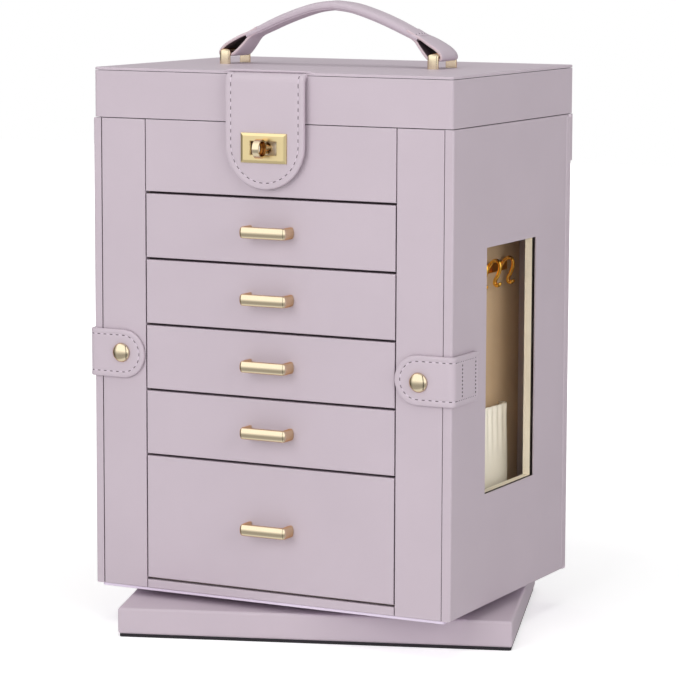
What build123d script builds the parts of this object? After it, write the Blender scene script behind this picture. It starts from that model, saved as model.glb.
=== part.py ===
from build123d import *
import math
import os

# Rotating jewelry box, in millimetres.
# Z is up, the drawers face -Y and the right-hand door faces +X.
# The origin is on the turntable's axis, at the underside of the foot pad.

# Whole body
body_width = 282.0          # across the outer faces of the two side doors
body_depth = 204.0          # from the front face to the back face
board_thick = 6.0           # wrapped boards of the face frame and the floor
back_board_thick = 5.6
partition_thick = 4.5
ceiling_thick = 5.0
wrap_radius = 1.6           # how a wrapped board's outer edge is rounded
small_radius = 0.8
board_seam = 0.5            # hairline between two neighbouring boards

# Base and turntable
pad_thick = 2.2
pad_inset = 1.0
plinth_width = 280.0
plinth_depth = 204.0
plinth_height = 18.8
plinth_turn = 18.85         # degrees that the plinth is turned under the cabinet
plinth_radius = 2.0
bearing_radius = 75.0
bearing_plate_thick = 1.5
bearing_gap = 2.0
race_radius = 55.0
ball_radius = 2.0
ball_fit = 0.05
ball_count = 20
pivot_radius = 4.0
pivot_fit = 0.06
pivot_head_radius = 7.0
pivot_head_thick = 1.1
pivot_head_gap = 0.15
pivot_head_clearance = 1.0
screw_circle_radius = 66.0
screw_count = 4
screw_radius = 1.75
screw_head_radius = 3.3
screw_grip = 3.5            # how far a screw's shank goes past the plate it holds
screw_fit = 0.05
bottom_plate_thick = 2.0
bottom_plate_side_inset = 5.0
bottom_plate_front_inset = 0.7
bottom_plate_radius = 0.5

# Face frame and drawers
stile_width = 35.4          # the drawers' opening is what the two stiles leave
rail_height = 7.0
deep_pitch = 90.2
shallow_pitch = 46.9
shallow_count = 4
fascia_height = 51.6
drawer_gap = 1.7            # dark line between two drawer fronts
drawer_side_gap = 0.8
shelf_thick = 2.5
shelf_setback = 0.5
slide_clearance = 0.3
tray_headroom = 3.0
tray_wall = 3.2
tray_floor = 2.4
tray_back_gap = 6.0
tray_radius = 1.0
divider_thick = 2.4
divider_drop = 4.0          # how far a divider stops below the tray's rim
pull_width = 36.5
pull_height = 8.0
pull_bar = 4.0
pull_leg = 3.0
pull_reach = 14.0
pull_corner = 3.0
pull_soft = 1.1
pull_shift = 2.0            # the pulls' centre to the right of the middle

# Side doors
door_board_thick = 6.4
door_lining_thick = 2.1
door_crease = 0.4           # fold line between the door and the back board
window_width = 85.6
window_height = 172.7
window_lift = -2.2          # the window's centre from the middle of the door's height
window_shift = -3.5         # the window's centre in front of the turntable's axis
window_lip = 1.0
pane_thick = 1.5
pane_margin = 3.8
pane_fit = 0.2
hinge_leather_thick = 0.7
hinge_leather_gap = 0.05
hinge_leather_width = 8.0
hinge_leather_inset = 2.0

# Door straps and snaps
strap_height = 34.4
strap_thick = 2.4
strap_gap = 0.35
right_strap_lift = -2.3     # the right strap's centre from the middle of the body's height
left_strap_lift = 0.6
right_snap_lift = -1.3      # the right snap's centre from its strap's middle
left_snap_lift = 0.8
strap_corner = 4.5
strap_tip_gap = 0.2         # from the stile's inner edge to the strap's tip
strap_fold_back = 10.2      # from the front face to the first sewn line
strap_tab_length = 27.5
strap_tab_gap = 0.3
snap_inset = 18.3           # from the strap's tip to the snap's centre
snap_cap_radius = 6.8
snap_cap_height = 3.2
snap_tube_radius = 3.2
snap_stud_radius = 1.5
snap_stud_length = 1.9
snap_fit = 0.1
snap_floor = 0.4

# Necklace compartments
hook_rail_length = 140.0
hook_rail_height = 7.0
hook_rail_thick = 2.0
hook_rail_drop = 104.0      # below the body's top
hook_count = 6
hook_wire = 1.1
hook_reach = 14.0
hook_drop = 11.0
hook_rise = 6.0
hook_ball = 1.9
pocket_width = 140.0
pocket_height = 98.0
pocket_depth = 11.0
pocket_wall = 1.6
pocket_foot = 26.0          # above the floor board
pocket_shift = -8.0
pocket_radius = 5.0
pocket_soft = 1.5

# Lid
lid_side_inset = 1.0        # how far the lid stands in from the outer faces of the doors
lid_seam = 0.5
lid_wall = 6.0
lid_wall_height = 32.8
lid_top_seam = 0.4
lid_top_thick = 1.9
lid_board_thick = 5.0
lid_board_fit = 0.2
lid_corner_radius = 2.5
lid_edge_radius = 0.9
lid_lining_thick = 3.0
mirror_width = 200.0
mirror_depth = 140.0
mirror_thick = 2.0
mirror_fit = 0.1
flap_thick = 4.4            # how far the hinge flap stands behind the back board
flap_drop = 34.0
flap_radius = 0.6

# Top tray under the lid
liner_wall = 2.0
liner_floor = 1.5
liner_fit = 0.5
liner_drop = 2.0
ring_bay_depth = 76.0
ring_roll_count = 6
ring_roll_height = 26.0
ring_roll_gap = 0.5
ring_roll_soft = 4.6
bin_count = 3

# Closure strap and turn lock
tongue_width = 61.2
tongue_thick = 2.8
tongue_standoff = 3.2       # from the front face to the back of the strap
tongue_overlap = 45.7       # how far the strap's end hangs below the lid
tongue_tab_depth = 5.0
tongue_root_gap = 0.3
lock_drop = 17.2            # the lock's centre below the lid's lower edge
plate_width = 35.6
plate_height = 20.6
plate_thick = 1.6
plate_bevel = 0.8
slot_width = 20.5
slot_height = 9.4
slot_radius = 0.6
slot_relief = 2.8           # how much wider the leather's cut-out is than the plate's slot
lock_base_width = 42.0
lock_base_height = 24.0
lock_base_thick = 2.2
knob_ring_radius = 6.6
knob_hole_radius = 4.3
knob_ring_width = 5.0
knob_neck_radius = 2.3
knob_flange_radius = 4.2
knob_flange_thick = 1.0
knob_shaft_radius = 2.4
knob_fit = 0.05
knob_gap = 0.1
knob_turn_margin = 0.12     # room round the turning ring inside the slot

# Carry handle
bracket_spacing = 166.6
bracket_depth = 34.0
bracket_width = 8.0
bracket_bar = 3.0
bracket_height = 11.0
bracket_corner = 3.0
bracket_soft = 0.6
rivet_radius = 1.5
rivet_length = 6.0
rivet_fit = 0.05
handle_rise = 46.7          # from the lid's top to the top of the grip
handle_strap_width = 27.0
handle_strap_thick = 2.0
handle_fold_gap = 0.4
grip_width = 20.0
grip_thick = 7.6
grip_half_span = 64.0
grip_drop = 21.6            # how far the grip falls from its middle to its ends
grip_soft = 3.4

# Overrun of every cutting tool
overrun = 1.0

# Levels, worked out from the sizes above
plinth_bottom = pad_thick
plinth_top = plinth_bottom + plinth_height
lower_plate_top = plinth_top + bearing_plate_thick
upper_plate_bottom = lower_plate_top + bearing_gap
upper_plate_top = upper_plate_bottom + bearing_plate_thick
body_bottom = upper_plate_top + bottom_plate_thick
floor_top = body_bottom + board_thick
first_gap = body_bottom + rail_height
gap_levels = [first_gap] + [first_gap + deep_pitch + i * shallow_pitch for i in range(shallow_count + 1)]
well_level = gap_levels[-1]
body_top = well_level + fascia_height
lid_bottom = body_top + lid_seam
lid_wall_top = lid_bottom + lid_wall_height
lid_top_under = lid_wall_top + lid_top_seam
lid_top = lid_top_under + lid_top_thick

# Planes in X and Y
front_face = -body_depth / 2
back_face = body_depth / 2
board_back = front_face + board_thick       # rear face of the face frame
inner_back = back_face - back_board_thick   # front face of the back board
door_face = body_width / 2
door_board_inside = door_face - door_board_thick
door_inside = door_board_inside - door_lining_thick
stile_outer = door_board_inside - board_seam
carcass_half = door_inside - board_seam
opening_half = stile_outer - stile_width
partition_outer = opening_half + partition_thick
door_rear = inner_back - door_crease
flap_face = back_face + flap_thick
lid_half = door_face - lid_side_inset
right_strap_level = (body_bottom + body_top) / 2 + right_strap_lift
left_strap_level = (body_bottom + body_top) / 2 + left_strap_lift
lock_level = lid_bottom - lock_drop
tongue_back = front_face - tongue_standoff
tongue_face = tongue_back - tongue_thick
plate_face = tongue_face - plate_thick
lid_centre_y = (front_face + flap_face) / 2


def box_between(low, high):
    """A box from its lowest corner to its highest corner."""
    size = [high[i] - low[i] for i in range(3)]
    centre = [(high[i] + low[i]) / 2 for i in range(3)]
    return Pos(*centre) * Box(*size)


def softened(piece, radius, edges=None):
    """The piece with the given edges, or all of its edges, rounded."""
    chosen = piece.edges() if edges is None else edges
    return fillet(chosen, radius)


def mirrored(piece):
    """The piece's copy on the other side of the box."""
    return mirror(piece, about=Plane.YZ)


def group(pieces):
    """Several separate solids held as one node."""
    solids = [solid for piece in pieces for solid in piece.solids()]
    return Compound(children=solids)


def ring_places(radius, count):
    """Evenly spaced places on a circle about the turntable's axis."""
    for i in range(count):
        angle = math.radians(i * 360 / count)
        yield radius * math.cos(angle), radius * math.sin(angle)


def upright_cylinder(radius, low, high, x=0.0, y=0.0):
    """A cylinder along Z between two levels."""
    return Pos(x, y, (low + high) / 2) * Cylinder(radius, high - low)


def cross_cylinder(radius, near, far, x, z):
    """A cylinder along Y between two depths."""
    return Pos(x, (near + far) / 2, z) * Rot(X=90) * Cylinder(radius, far - near)


def screw_shape(x, y, seat, grip_end, grow=0.0):
    """A countersunk screw along Z: its head's flat is at seat, its tip at grip_end."""
    way = 1 if grip_end > seat else -1
    head = Cone(screw_head_radius + grow, screw_radius + grow, bearing_plate_thick)
    if way < 0:
        head = Rot(X=180) * head
    head = Pos(x, y, seat + way * bearing_plate_thick / 2) * head
    shank = upright_cylinder(screw_radius + grow, min(seat, grip_end), max(seat, grip_end), x, y)
    return head + shank


def cut_screws(piece, seat, grip_end):
    """The piece with a hole for each screw of the turntable."""
    for x, y in ring_places(screw_circle_radius, screw_count):
        piece = piece - screw_shape(x, y, seat, grip_end, screw_fit)
    return piece


def raceway():
    """The ring-shaped groove that the balls run in, for both bearing plates."""
    middle = (lower_plate_top + upper_plate_bottom) / 2
    return Pos(0, 0, middle) * Torus(race_radius, ball_radius + ball_fit)


def make_base():
    """The turned plinth, its foot pad, the lower bearing plate, its balls and its screws."""
    turn = Rot(Z=plinth_turn)
    half_w, half_d = plinth_width / 2, plinth_depth / 2
    plinth = box_between((-half_w, -half_d, plinth_bottom), (half_w, half_d, plinth_top))
    plinth = turn * softened(plinth, plinth_radius)
    screw_tip = plinth_top - screw_grip
    plinth = cut_screws(plinth, lower_plate_top, screw_tip)
    pad_w, pad_d = half_w - pad_inset, half_d - pad_inset
    pad = box_between((-pad_w, -pad_d, 0), (pad_w, pad_d, pad_thick))
    pad = turn * softened(pad, plinth_radius, pad.edges().filter_by(Axis.Z))
    plate = upright_cylinder(bearing_radius, plinth_top, lower_plate_top) - raceway()
    plate = cut_screws(plate, lower_plate_top, screw_tip)
    head_low = upper_plate_top + pivot_head_gap
    head = upright_cylinder(pivot_head_radius, head_low, head_low + pivot_head_thick)
    plate = plate + upright_cylinder(pivot_radius, plinth_top, head_low + pivot_head_thick) + head
    middle = (lower_plate_top + upper_plate_bottom) / 2
    balls = [Pos(x, y, middle) * Sphere(ball_radius) for x, y in ring_places(race_radius, ball_count)]
    places = ring_places(screw_circle_radius, screw_count)
    screws = [screw_shape(x, y, lower_plate_top, screw_tip) for x, y in places]
    return {
        "base_plinth": plinth,
        "base_foot_pad": pad,
        "turntable_lower_plate": plate,
        "turntable_balls": group(balls),
        "turntable_base_screws": group(screws),
    }


def make_underside():
    """The upper bearing plate, the thin bottom plate, the floor board and the screws between them."""
    tip = body_bottom + screw_grip
    plate = upright_cylinder(bearing_radius, upper_plate_bottom, upper_plate_top) - raceway()
    plate = plate - upright_cylinder(pivot_radius + pivot_fit, upper_plate_bottom, upper_plate_top)
    plate = cut_screws(plate, upper_plate_bottom, tip)
    half_w, half_d = body_width / 2 - bottom_plate_side_inset, body_depth / 2 - bottom_plate_front_inset
    cover = box_between((-half_w, -half_d, upper_plate_top), (half_w, half_d, body_bottom))
    cover = softened(cover, wrap_radius, cover.edges().filter_by(Axis.Z))
    rims = cover.faces().filter_by(Axis.Z)
    cover = softened(cover, bottom_plate_radius, [edge for rim in rims for edge in rim.edges()])
    head_room = pivot_head_radius + pivot_head_clearance
    cover = cover - upright_cylinder(head_room, upper_plate_top, body_bottom)
    cover = cut_screws(cover, upper_plate_bottom, tip)
    floor = box_between((-carcass_half, board_back, body_bottom), (carcass_half, inner_back, floor_top))
    floor = cut_screws(floor, upper_plate_bottom, tip)
    places = ring_places(screw_circle_radius, screw_count)
    screws = [screw_shape(x, y, upper_plate_bottom, tip) for x, y in places]
    return {
        "turntable_upper_plate": plate,
        "bottom_plate": cover,
        "cabinet_floor": floor,
        "turntable_cabinet_screws": group(screws),
    }


def knob_bore():
    """The hole that the turn knob's shaft runs in, through the lock base and into the fascia."""
    near = front_face - lock_base_thick
    return cross_cylinder(knob_shaft_radius + knob_fit, near, board_back, 0, lock_level)


def wrapped_board(low, high):
    """A board with the edges of its front face rounded by the leather that wraps it."""
    board = box_between(low, high)
    front = board.faces().sort_by(Axis.Y)[0]
    return softened(board, small_radius, front.edges())


def make_carcass():
    """Back board, face frame, partitions with the side ceilings, and the shelves."""
    back = box_between((-door_face, inner_back, body_bottom), (door_face, back_face, body_top))
    rear_edges = back.edges().filter_by(Axis.Z).sort_by(Axis.Y)[-2:]
    back = softened(back, wrap_radius, rear_edges)
    stile = wrapped_board((opening_half, front_face, body_bottom), (stile_outer, board_back, body_top))
    panel_half = opening_half - board_seam
    fascia = wrapped_board(
        (-panel_half, front_face, well_level + drawer_gap / 2), (panel_half, board_back, body_top)
    )
    rail = wrapped_board(
        (-panel_half, front_face, body_bottom), (panel_half, board_back, first_gap - drawer_gap / 2)
    )
    partition = box_between(
        (opening_half, board_back, floor_top), (partition_outer, inner_back, body_top)
    )
    ceiling = box_between(
        (partition_outer, board_back, body_top - ceiling_thick), (carcass_half, inner_back, body_top)
    )
    shelves = [
        box_between(
            (-opening_half, board_back + shelf_setback, level - shelf_thick / 2),
            (opening_half, inner_back, level + shelf_thick / 2),
        )
        for level in gap_levels[1:]
    ]
    return {
        "cabinet_back": back,
        "front_frame": group([stile, mirrored(stile), fascia - knob_bore(), rail]),
        "side_partitions": group([partition, mirrored(partition), ceiling, mirrored(ceiling)]),
        "drawer_shelves": group(shelves),
    }


def make_top_tray():
    """The velvet liner under the lid, with its bins, and the row of ring rolls."""
    half = opening_half - liner_fit
    front, rear = board_back + liner_fit, inner_back - liner_fit
    low, high = well_level + shelf_thick / 2, body_top - liner_drop
    liner = box_between((-half, front, low), (half, rear, high))
    inner_low = low + liner_floor
    ring_rear = front + liner_wall + ring_bay_depth
    inner_half = half - liner_wall
    liner = liner - box_between(
        (-inner_half, front + liner_wall, inner_low), (inner_half, ring_rear, high + overrun)
    )
    bin_front, bin_rear = ring_rear + liner_wall, rear - liner_wall
    bin_width = (2 * inner_half - (bin_count - 1) * liner_wall) / bin_count
    for i in range(bin_count):
        left = -inner_half + i * (bin_width + liner_wall)
        right = left + bin_width
        liner = liner - box_between((left, bin_front, inner_low), (right, bin_rear, high + overrun))
    pitch = ring_bay_depth / ring_roll_count
    roll_half = inner_half - ring_roll_gap
    rolls = []
    for i in range(ring_roll_count):
        near = front + liner_wall + i * pitch + ring_roll_gap / 2
        far = near + pitch - ring_roll_gap
        roll = box_between((-roll_half, near, inner_low), (roll_half, far, inner_low + ring_roll_height))
        crown = roll.edges().filter_by(Axis.X).sort_by(Axis.Z)[-2:]
        rolls.append(softened(roll, ring_roll_soft, crown))
    return {"top_tray_liner": liner, "ring_rolls": group(rolls)}


def hook_shape(y, level):
    """One necklace hook: out from the rail, over, down and up again to a ball."""
    start = partition_outer + hook_rail_thick
    out = start + hook_reach
    points = [
        (start, y, level),
        (start + hook_reach / 2, y, level + hook_rise),
        (start + hook_reach / 2, y, level - hook_drop),
        (out, y, level - hook_drop),
        (out, y, level - hook_drop + hook_rise),
    ]
    bend = hook_wire * 2
    path = FilletPolyline(*points, radius=bend)
    section = Plane(origin=path @ 0, z_dir=path % 0) * Circle(hook_wire)
    wire = sweep(section, path=path)
    return wire + Pos(*points[-1]) * Sphere(hook_ball)


def make_necklace_side():
    """The hook rail and the soft pocket on the outer face of the right partition."""
    level = body_top - hook_rail_drop
    half = hook_rail_length / 2
    rail = box_between(
        (partition_outer, -half, level - hook_rail_height / 2),
        (partition_outer + hook_rail_thick, half, level + hook_rail_height / 2),
    )
    pitch = hook_rail_length / hook_count
    for i in range(hook_count):
        rail = rail + hook_shape(-half + (i + 1 / 2) * pitch, level)
    low = floor_top + pocket_foot
    side = pocket_width / 2
    outer = box_between(
        (partition_outer, pocket_shift - side, low),
        (partition_outer + pocket_depth, pocket_shift + side, low + pocket_height),
    )
    face = outer.faces().sort_by(Axis.X)[-1]
    outer = softened(outer, pocket_radius, face.edges())
    inner = box_between(
        (partition_outer + pocket_wall, pocket_shift - side + pocket_radius, low + pocket_radius),
        (
            partition_outer + pocket_depth - pocket_wall,
            pocket_shift + side - pocket_radius,
            low + pocket_height + overrun,
        ),
    )
    inner = softened(inner, pocket_soft, inner.edges().filter_by(Axis.Z))
    return rail, outer - inner


def make_drawer_tray(low, high, across, deep):
    """An open tray with across by deep compartments, between two levels."""
    half = opening_half - drawer_side_gap
    rear = inner_back - tray_back_gap
    tray = box_between((-half, board_back, low), (half, rear, high))
    tray = softened(tray, tray_radius, tray.edges().filter_by(Axis.Z))
    inner_half = half - tray_wall
    near, far = board_back + tray_wall, rear - tray_wall
    floor = low + tray_floor
    tray = tray - box_between((-inner_half, near, floor), (inner_half, far, high + overrun))
    divider_top = high - divider_drop
    for i in range(1, across):
        x = -inner_half + i * 2 * inner_half / across
        tray = tray + box_between(
            (x - divider_thick / 2, near, low), (x + divider_thick / 2, far, divider_top)
        )
    for i in range(1, deep):
        y = near + i * (far - near) / deep
        tray = tray + box_between(
            (-inner_half, y - divider_thick / 2, low), (inner_half, y + divider_thick / 2, divider_top)
        )
    return tray


def make_pull(level):
    """A brass bar pull: a bar with both ends turned back to the drawer front."""
    half = pull_width / 2
    tip = front_face - pull_reach
    outline = box_between((-half, tip, level - pull_height / 2), (half, front_face, level + pull_height / 2))
    corners = outline.edges().filter_by(Axis.Z).sort_by(Axis.Y)[:2]
    outline = softened(outline, pull_corner, corners)
    inside = half - pull_leg
    hollow = box_between(
        (-inside, tip + pull_bar, level - pull_height), (inside, front_face + overrun, level + pull_height)
    )
    pull = outline - hollow
    soft = pull.edges().filter_by(lambda edge: edge.center().Y < tip + pull_bar / 2)
    return Pos(pull_shift, 0, 0) * softened(pull, pull_soft, soft.filter_by(Axis.X))


# Compartments of each drawer tray, across and deep, from the top drawer down
drawer_layouts = ((3, 2), (3, 1), (2, 1), (1, 1), (1, 1))


def make_drawers():
    """The five drawers, numbered from the top. Each has a wrapped front, a tray and a pull."""
    parts = {}
    half = opening_half - drawer_side_gap
    for number, (across, deep) in enumerate(drawer_layouts, start=1):
        below, above = gap_levels[-1 - number], gap_levels[-number]
        low, high = below + drawer_gap / 2, above - drawer_gap / 2
        front = wrapped_board((-half, front_face, low), (half, board_back, high))
        seat = floor_top if below == first_gap else below + shelf_thick / 2
        tray_low = seat + slide_clearance
        tray_high = above - shelf_thick / 2 - tray_headroom
        name = f"drawer_{number}"
        parts[f"{name}_front"] = front
        parts[f"{name}_tray"] = make_drawer_tray(tray_low, tray_high, across, deep)
        parts[f"{name}_pull"] = make_pull((low + high) / 2)
    return parts


def make_door():
    """The right-hand door: its board, pane, velvet lining and hinge leather."""
    middle = (body_bottom + body_top) / 2 + window_lift
    half_w, half_h = window_width / 2, window_height / 2
    board = box_between((door_board_inside, front_face, body_bottom), (door_face, door_rear, body_top))
    outer = board.faces().sort_by(Axis.X)[-1]
    board = softened(board, wrap_radius, outer.edges().sort_by(Axis.Y)[:-1])
    opening = box_between(
        (door_inside - overrun, window_shift - half_w, middle - half_h),
        (door_face + overrun, window_shift + half_w, middle + half_h),
    )
    lip = door_face - window_lip
    rebate_w, rebate_h = half_w + pane_margin, half_h + pane_margin
    rebate = box_between(
        (door_board_inside - overrun, window_shift - rebate_w, middle - rebate_h),
        (lip, window_shift + rebate_w, middle + rebate_h),
    )
    pane_w, pane_h = rebate_w - pane_fit, rebate_h - pane_fit
    pane = box_between(
        (lip - pane_thick, window_shift - pane_w, middle - pane_h),
        (lip, window_shift + pane_w, middle + pane_h),
    )
    lining = box_between(
        (door_inside, board_back + board_seam, body_bottom + wrap_radius),
        (door_board_inside, door_rear - door_lining_thick, body_top - wrap_radius),
    )
    lining = softened(lining, small_radius, lining.faces().sort_by(Axis.X)[0].edges())
    collar = box_between(
        (door_board_inside, window_shift - pane_w, middle - pane_h),
        (lip - pane_thick, window_shift + pane_w, middle + pane_h),
    )
    leather_y = (door_rear + inner_back) / 2
    leather = box_between(
        (
            door_face + hinge_leather_gap,
            leather_y - hinge_leather_width / 2,
            body_bottom + hinge_leather_inset,
        ),
        (
            door_face + hinge_leather_gap + hinge_leather_thick,
            leather_y + hinge_leather_width / 2,
            body_top - hinge_leather_inset,
        ),
    )
    return {
        "panel": board - opening - rebate,
        "window": pane,
        "lining": lining + collar - opening,
        "leather": leather,
    }


def make_door_strap(level, snap_level):
    """A right-hand strap and its snap at their levels: the free part, its tab, its cap and the stud."""
    low, high = level - strap_height / 2, level + strap_height / 2
    inner_x, inner_y = door_face + strap_gap, front_face - strap_gap
    outer_x, outer_y = inner_x + strap_thick, inner_y - strap_thick
    tip = opening_half + strap_tip_gap
    fold_y = front_face + strap_fold_back
    outer = box_between((tip, outer_y, low), (outer_x, fold_y, high))
    corner = outer.edges().filter_by(Axis.Z).sort_by(lambda edge: edge.center().X - edge.center().Y)[-1]
    outer = softened(outer, strap_corner, [corner])
    inner = box_between((tip - overrun, inner_y, low - overrun), (inner_x, fold_y + overrun, high + overrun))
    inner_corner = inner.edges().filter_by(Axis.Z).sort_by(lambda edge: edge.center().X - edge.center().Y)[-1]
    inner = softened(inner, strap_corner - strap_thick, [inner_corner])
    tip_radius = strap_height / 2
    round_x = tip + tip_radius
    keep = box_between((round_x, outer_y - overrun, low), (outer_x + overrun, fold_y, high))
    keep = keep + cross_cylinder(tip_radius, outer_y - overrun, fold_y, round_x, level)
    snap_x = tip + snap_inset
    tube_bore = cross_cylinder(
        snap_tube_radius + snap_fit, outer_y - overrun, inner_y + overrun, snap_x, snap_level
    )
    strap = ((outer - inner) & keep) - tube_bore
    tab = box_between(
        (door_face, fold_y + strap_tab_gap, low), (outer_x, fold_y + strap_tab_gap + strap_tab_length, high)
    )
    tab = softened(tab, small_radius, tab.faces().sort_by(Axis.X)[-1].edges())
    dome_radius = (snap_cap_radius ** 2 + snap_cap_height ** 2) / (2 * snap_cap_height)
    dome = Pos(snap_x, outer_y - snap_cap_height + dome_radius, snap_level) * Sphere(dome_radius)
    dome = dome & box_between(
        (snap_x - dome_radius, outer_y - snap_cap_height - overrun, snap_level - dome_radius),
        (snap_x + dome_radius, outer_y, snap_level + dome_radius),
    )
    tube = cross_cylinder(snap_tube_radius, outer_y, inner_y, snap_x, snap_level)
    socket = cross_cylinder(
        snap_stud_radius + snap_fit, outer_y + snap_floor, inner_y + overrun, snap_x, snap_level
    )
    stud = cross_cylinder(snap_stud_radius, front_face - snap_stud_length, front_face, snap_x, snap_level)
    return {"strap": strap, "tab": tab, "cap": dome + tube - socket, "stud": stud}


def make_sides():
    """Both doors with their straps, and what both sides of the cabinet share."""
    door = make_door()
    hooks, pocket = make_necklace_side()
    parts = {}
    studs = []
    for side, level, snap_lift, place in (
        ("right", right_strap_level, right_snap_lift, lambda piece: piece),
        ("left", left_strap_level, left_snap_lift, mirrored),
    ):
        strap = make_door_strap(level, level + snap_lift)
        parts[f"door_panel_{side}"] = place(door["panel"])
        parts[f"door_window_{side}"] = place(door["window"])
        parts[f"door_lining_{side}"] = place(door["lining"])
        parts[f"door_hinge_leather_{side}"] = place(door["leather"])
        parts[f"door_strap_{side}"] = place(strap["strap"])
        parts[f"door_strap_tab_{side}"] = place(strap["tab"])
        parts[f"snap_cap_{side}"] = place(strap["cap"])
        studs.append(place(strap["stud"]))
    parts["snap_studs"] = group(studs)
    parts["necklace_hooks"] = group([hooks, mirrored(hooks)])
    parts["necklace_pockets"] = group([pocket, mirrored(pocket)])
    return parts


def tongue_path():
    """The strap's centre line in the YZ plane, from the lid's edge down to its end."""
    centre_y = tongue_face + tongue_thick / 2
    top = lid_wall_top - tongue_thick / 2
    start = front_face - tongue_root_gap
    end = lid_bottom - tongue_overlap
    return centre_y, top, start, end


def slot_cut(grow=0.0):
    """The slot that the turn knob stands through, grown all round for the leather behind the plate."""
    half_w, half_h = slot_width / 2 + grow, slot_height / 2 + grow
    slot = box_between(
        (-half_w, plate_face - overrun, lock_level - half_h), (half_w, front_face, lock_level + half_h)
    )
    return softened(slot, slot_radius, slot.edges().filter_by(Axis.Y))


def make_closure():
    """The closure strap, its tab under the lid's edge and its slotted plate."""
    centre_y, top, start, end = tongue_path()
    half = tongue_width / 2
    bend = start - centre_y
    with BuildSketch(Plane.YZ) as side:
        with BuildLine():
            TangentArc((start, top), (centre_y, top - bend), tangent=(-1, 0))
            Line((centre_y, top - bend), (centre_y, end))
        trace(line_width=tongue_thick)
    strap = extrude(side.sketch, half, both=True)
    round_level = end + half
    keep = box_between(
        (-half, tongue_face - overrun, round_level), (half, front_face, lid_wall_top + overrun)
    )
    keep = keep + cross_cylinder(half, tongue_face - overrun, front_face, 0, round_level)
    plate = box_between(
        (-plate_width / 2, plate_face, lock_level - plate_height / 2),
        (plate_width / 2, tongue_face, lock_level + plate_height / 2),
    )
    plate = chamfer(plate.faces().sort_by(Axis.Y)[0].edges(), plate_bevel)
    tab = box_between(
        (-half, front_face, lid_wall_top - tongue_thick), (half, front_face + tongue_tab_depth, lid_wall_top)
    )
    return {
        "closure_strap": (strap & keep) - slot_cut(slot_relief),
        "closure_plate": plate - slot_cut(),
        "closure_strap_tab": tab,
    }


def make_lock():
    """The lock's base plate on the fascia and the turn knob that stands through the slot."""
    base_face = front_face - lock_base_thick
    base = box_between(
        (-lock_base_width / 2, base_face, lock_level - lock_base_height / 2),
        (lock_base_width / 2, front_face, lock_level + lock_base_height / 2),
    )
    base = softened(base, small_radius, base.faces().sort_by(Axis.Y)[0].edges()) - knob_bore()
    turning_reach = slot_height / 2 - knob_turn_margin
    chord = math.sqrt(turning_reach ** 2 - (knob_ring_width / 2) ** 2)
    ring_y = plate_face - math.sqrt(knob_ring_radius ** 2 - chord ** 2)
    ring = Pos(0, ring_y, lock_level) * Rot(Y=90) * Cylinder(knob_ring_radius, knob_ring_width)
    ring = softened(ring, small_radius)
    flange_back = base_face - knob_gap
    flange_front = flange_back - knob_flange_thick
    neck = cross_cylinder(knob_neck_radius, ring_y, flange_back, 0, lock_level)
    hole = Pos(0, ring_y, lock_level) * Rot(Y=90) * Cylinder(knob_hole_radius, knob_ring_width + overrun)
    flange = cross_cylinder(knob_flange_radius, flange_front, flange_back, 0, lock_level)
    shaft = cross_cylinder(knob_shaft_radius, flange_back, board_back, 0, lock_level)
    return {"lock_base": base, "turn_knob": ring + neck - hole + flange + shaft}


def make_lid():
    """The lid's top panel, walls, lining and mirror."""
    low_y, high_y = front_face, flap_face
    walls = box_between((-lid_half, low_y, lid_bottom), (lid_half, high_y, lid_wall_top))
    walls = softened(walls, lid_corner_radius, walls.edges().filter_by(Axis.Z))
    inner_half = lid_half - lid_wall
    near, far = low_y + lid_wall, high_y - lid_wall
    walls = walls - box_between(
        (-inner_half, near, lid_bottom - overrun), (inner_half, far, lid_wall_top + overrun)
    )
    notch = box_between(
        (-tongue_width / 2, low_y - overrun, lid_wall_top - tongue_thick),
        (tongue_width / 2, low_y + tongue_tab_depth, lid_wall_top + overrun),
    )
    top = box_between((-lid_half, low_y, lid_top_under), (lid_half, high_y, lid_top))
    top = softened(top, lid_corner_radius, top.edges().filter_by(Axis.Z))
    top = softened(top, lid_edge_radius, top.faces().sort_by(Axis.Z)[-1].edges())
    board_low = lid_wall_top - lid_board_thick
    fit = lid_board_fit
    board = box_between(
        (-inner_half + fit, near + fit, board_low), (inner_half - fit, far - fit, lid_top_under)
    )
    for place in bracket_feet():
        board = board - bracket_rivet(place, rivet_fit)
        top = top - bracket_rivet(place, rivet_fit)
    lining_low = board_low - lid_lining_thick
    lining = box_between((-inner_half, near, lining_low), (inner_half, far, board_low))
    mirror_top = lining_low + mirror_thick
    half_w, half_d = mirror_width / 2, mirror_depth / 2
    pocket = box_between(
        (-half_w - mirror_fit, lid_centre_y - half_d - mirror_fit, lining_low - overrun),
        (half_w + mirror_fit, lid_centre_y + half_d + mirror_fit, mirror_top),
    )
    glass = box_between(
        (-half_w, lid_centre_y - half_d, lining_low), (half_w, lid_centre_y + half_d, mirror_top)
    )
    return {
        "lid_frame": walls - notch,
        "lid_top_panel": top + board,
        "lid_lining": lining - pocket,
        "lid_mirror": glass,
    }


def make_hinge_flap():
    """The stiff flap behind the cabinet and the leather fold that joins it to the lid."""
    flap = box_between((-lid_half, back_face, body_top - flap_drop), (lid_half, flap_face, body_top))
    rear = flap.faces().sort_by(Axis.Y)[-1]
    flap = softened(flap, flap_radius, rear.edges().sort_by(Axis.Z)[:-1])
    seam = (body_top + lid_bottom) / 2
    skin = flap_face + hinge_leather_gap
    fold = box_between(
        (-lid_half + hinge_leather_inset, skin, seam - hinge_leather_width),
        (lid_half - hinge_leather_inset, skin + hinge_leather_thick, seam + hinge_leather_width),
    )
    return {"lid_hinge_flap": flap, "lid_hinge_leather": fold}


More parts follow.
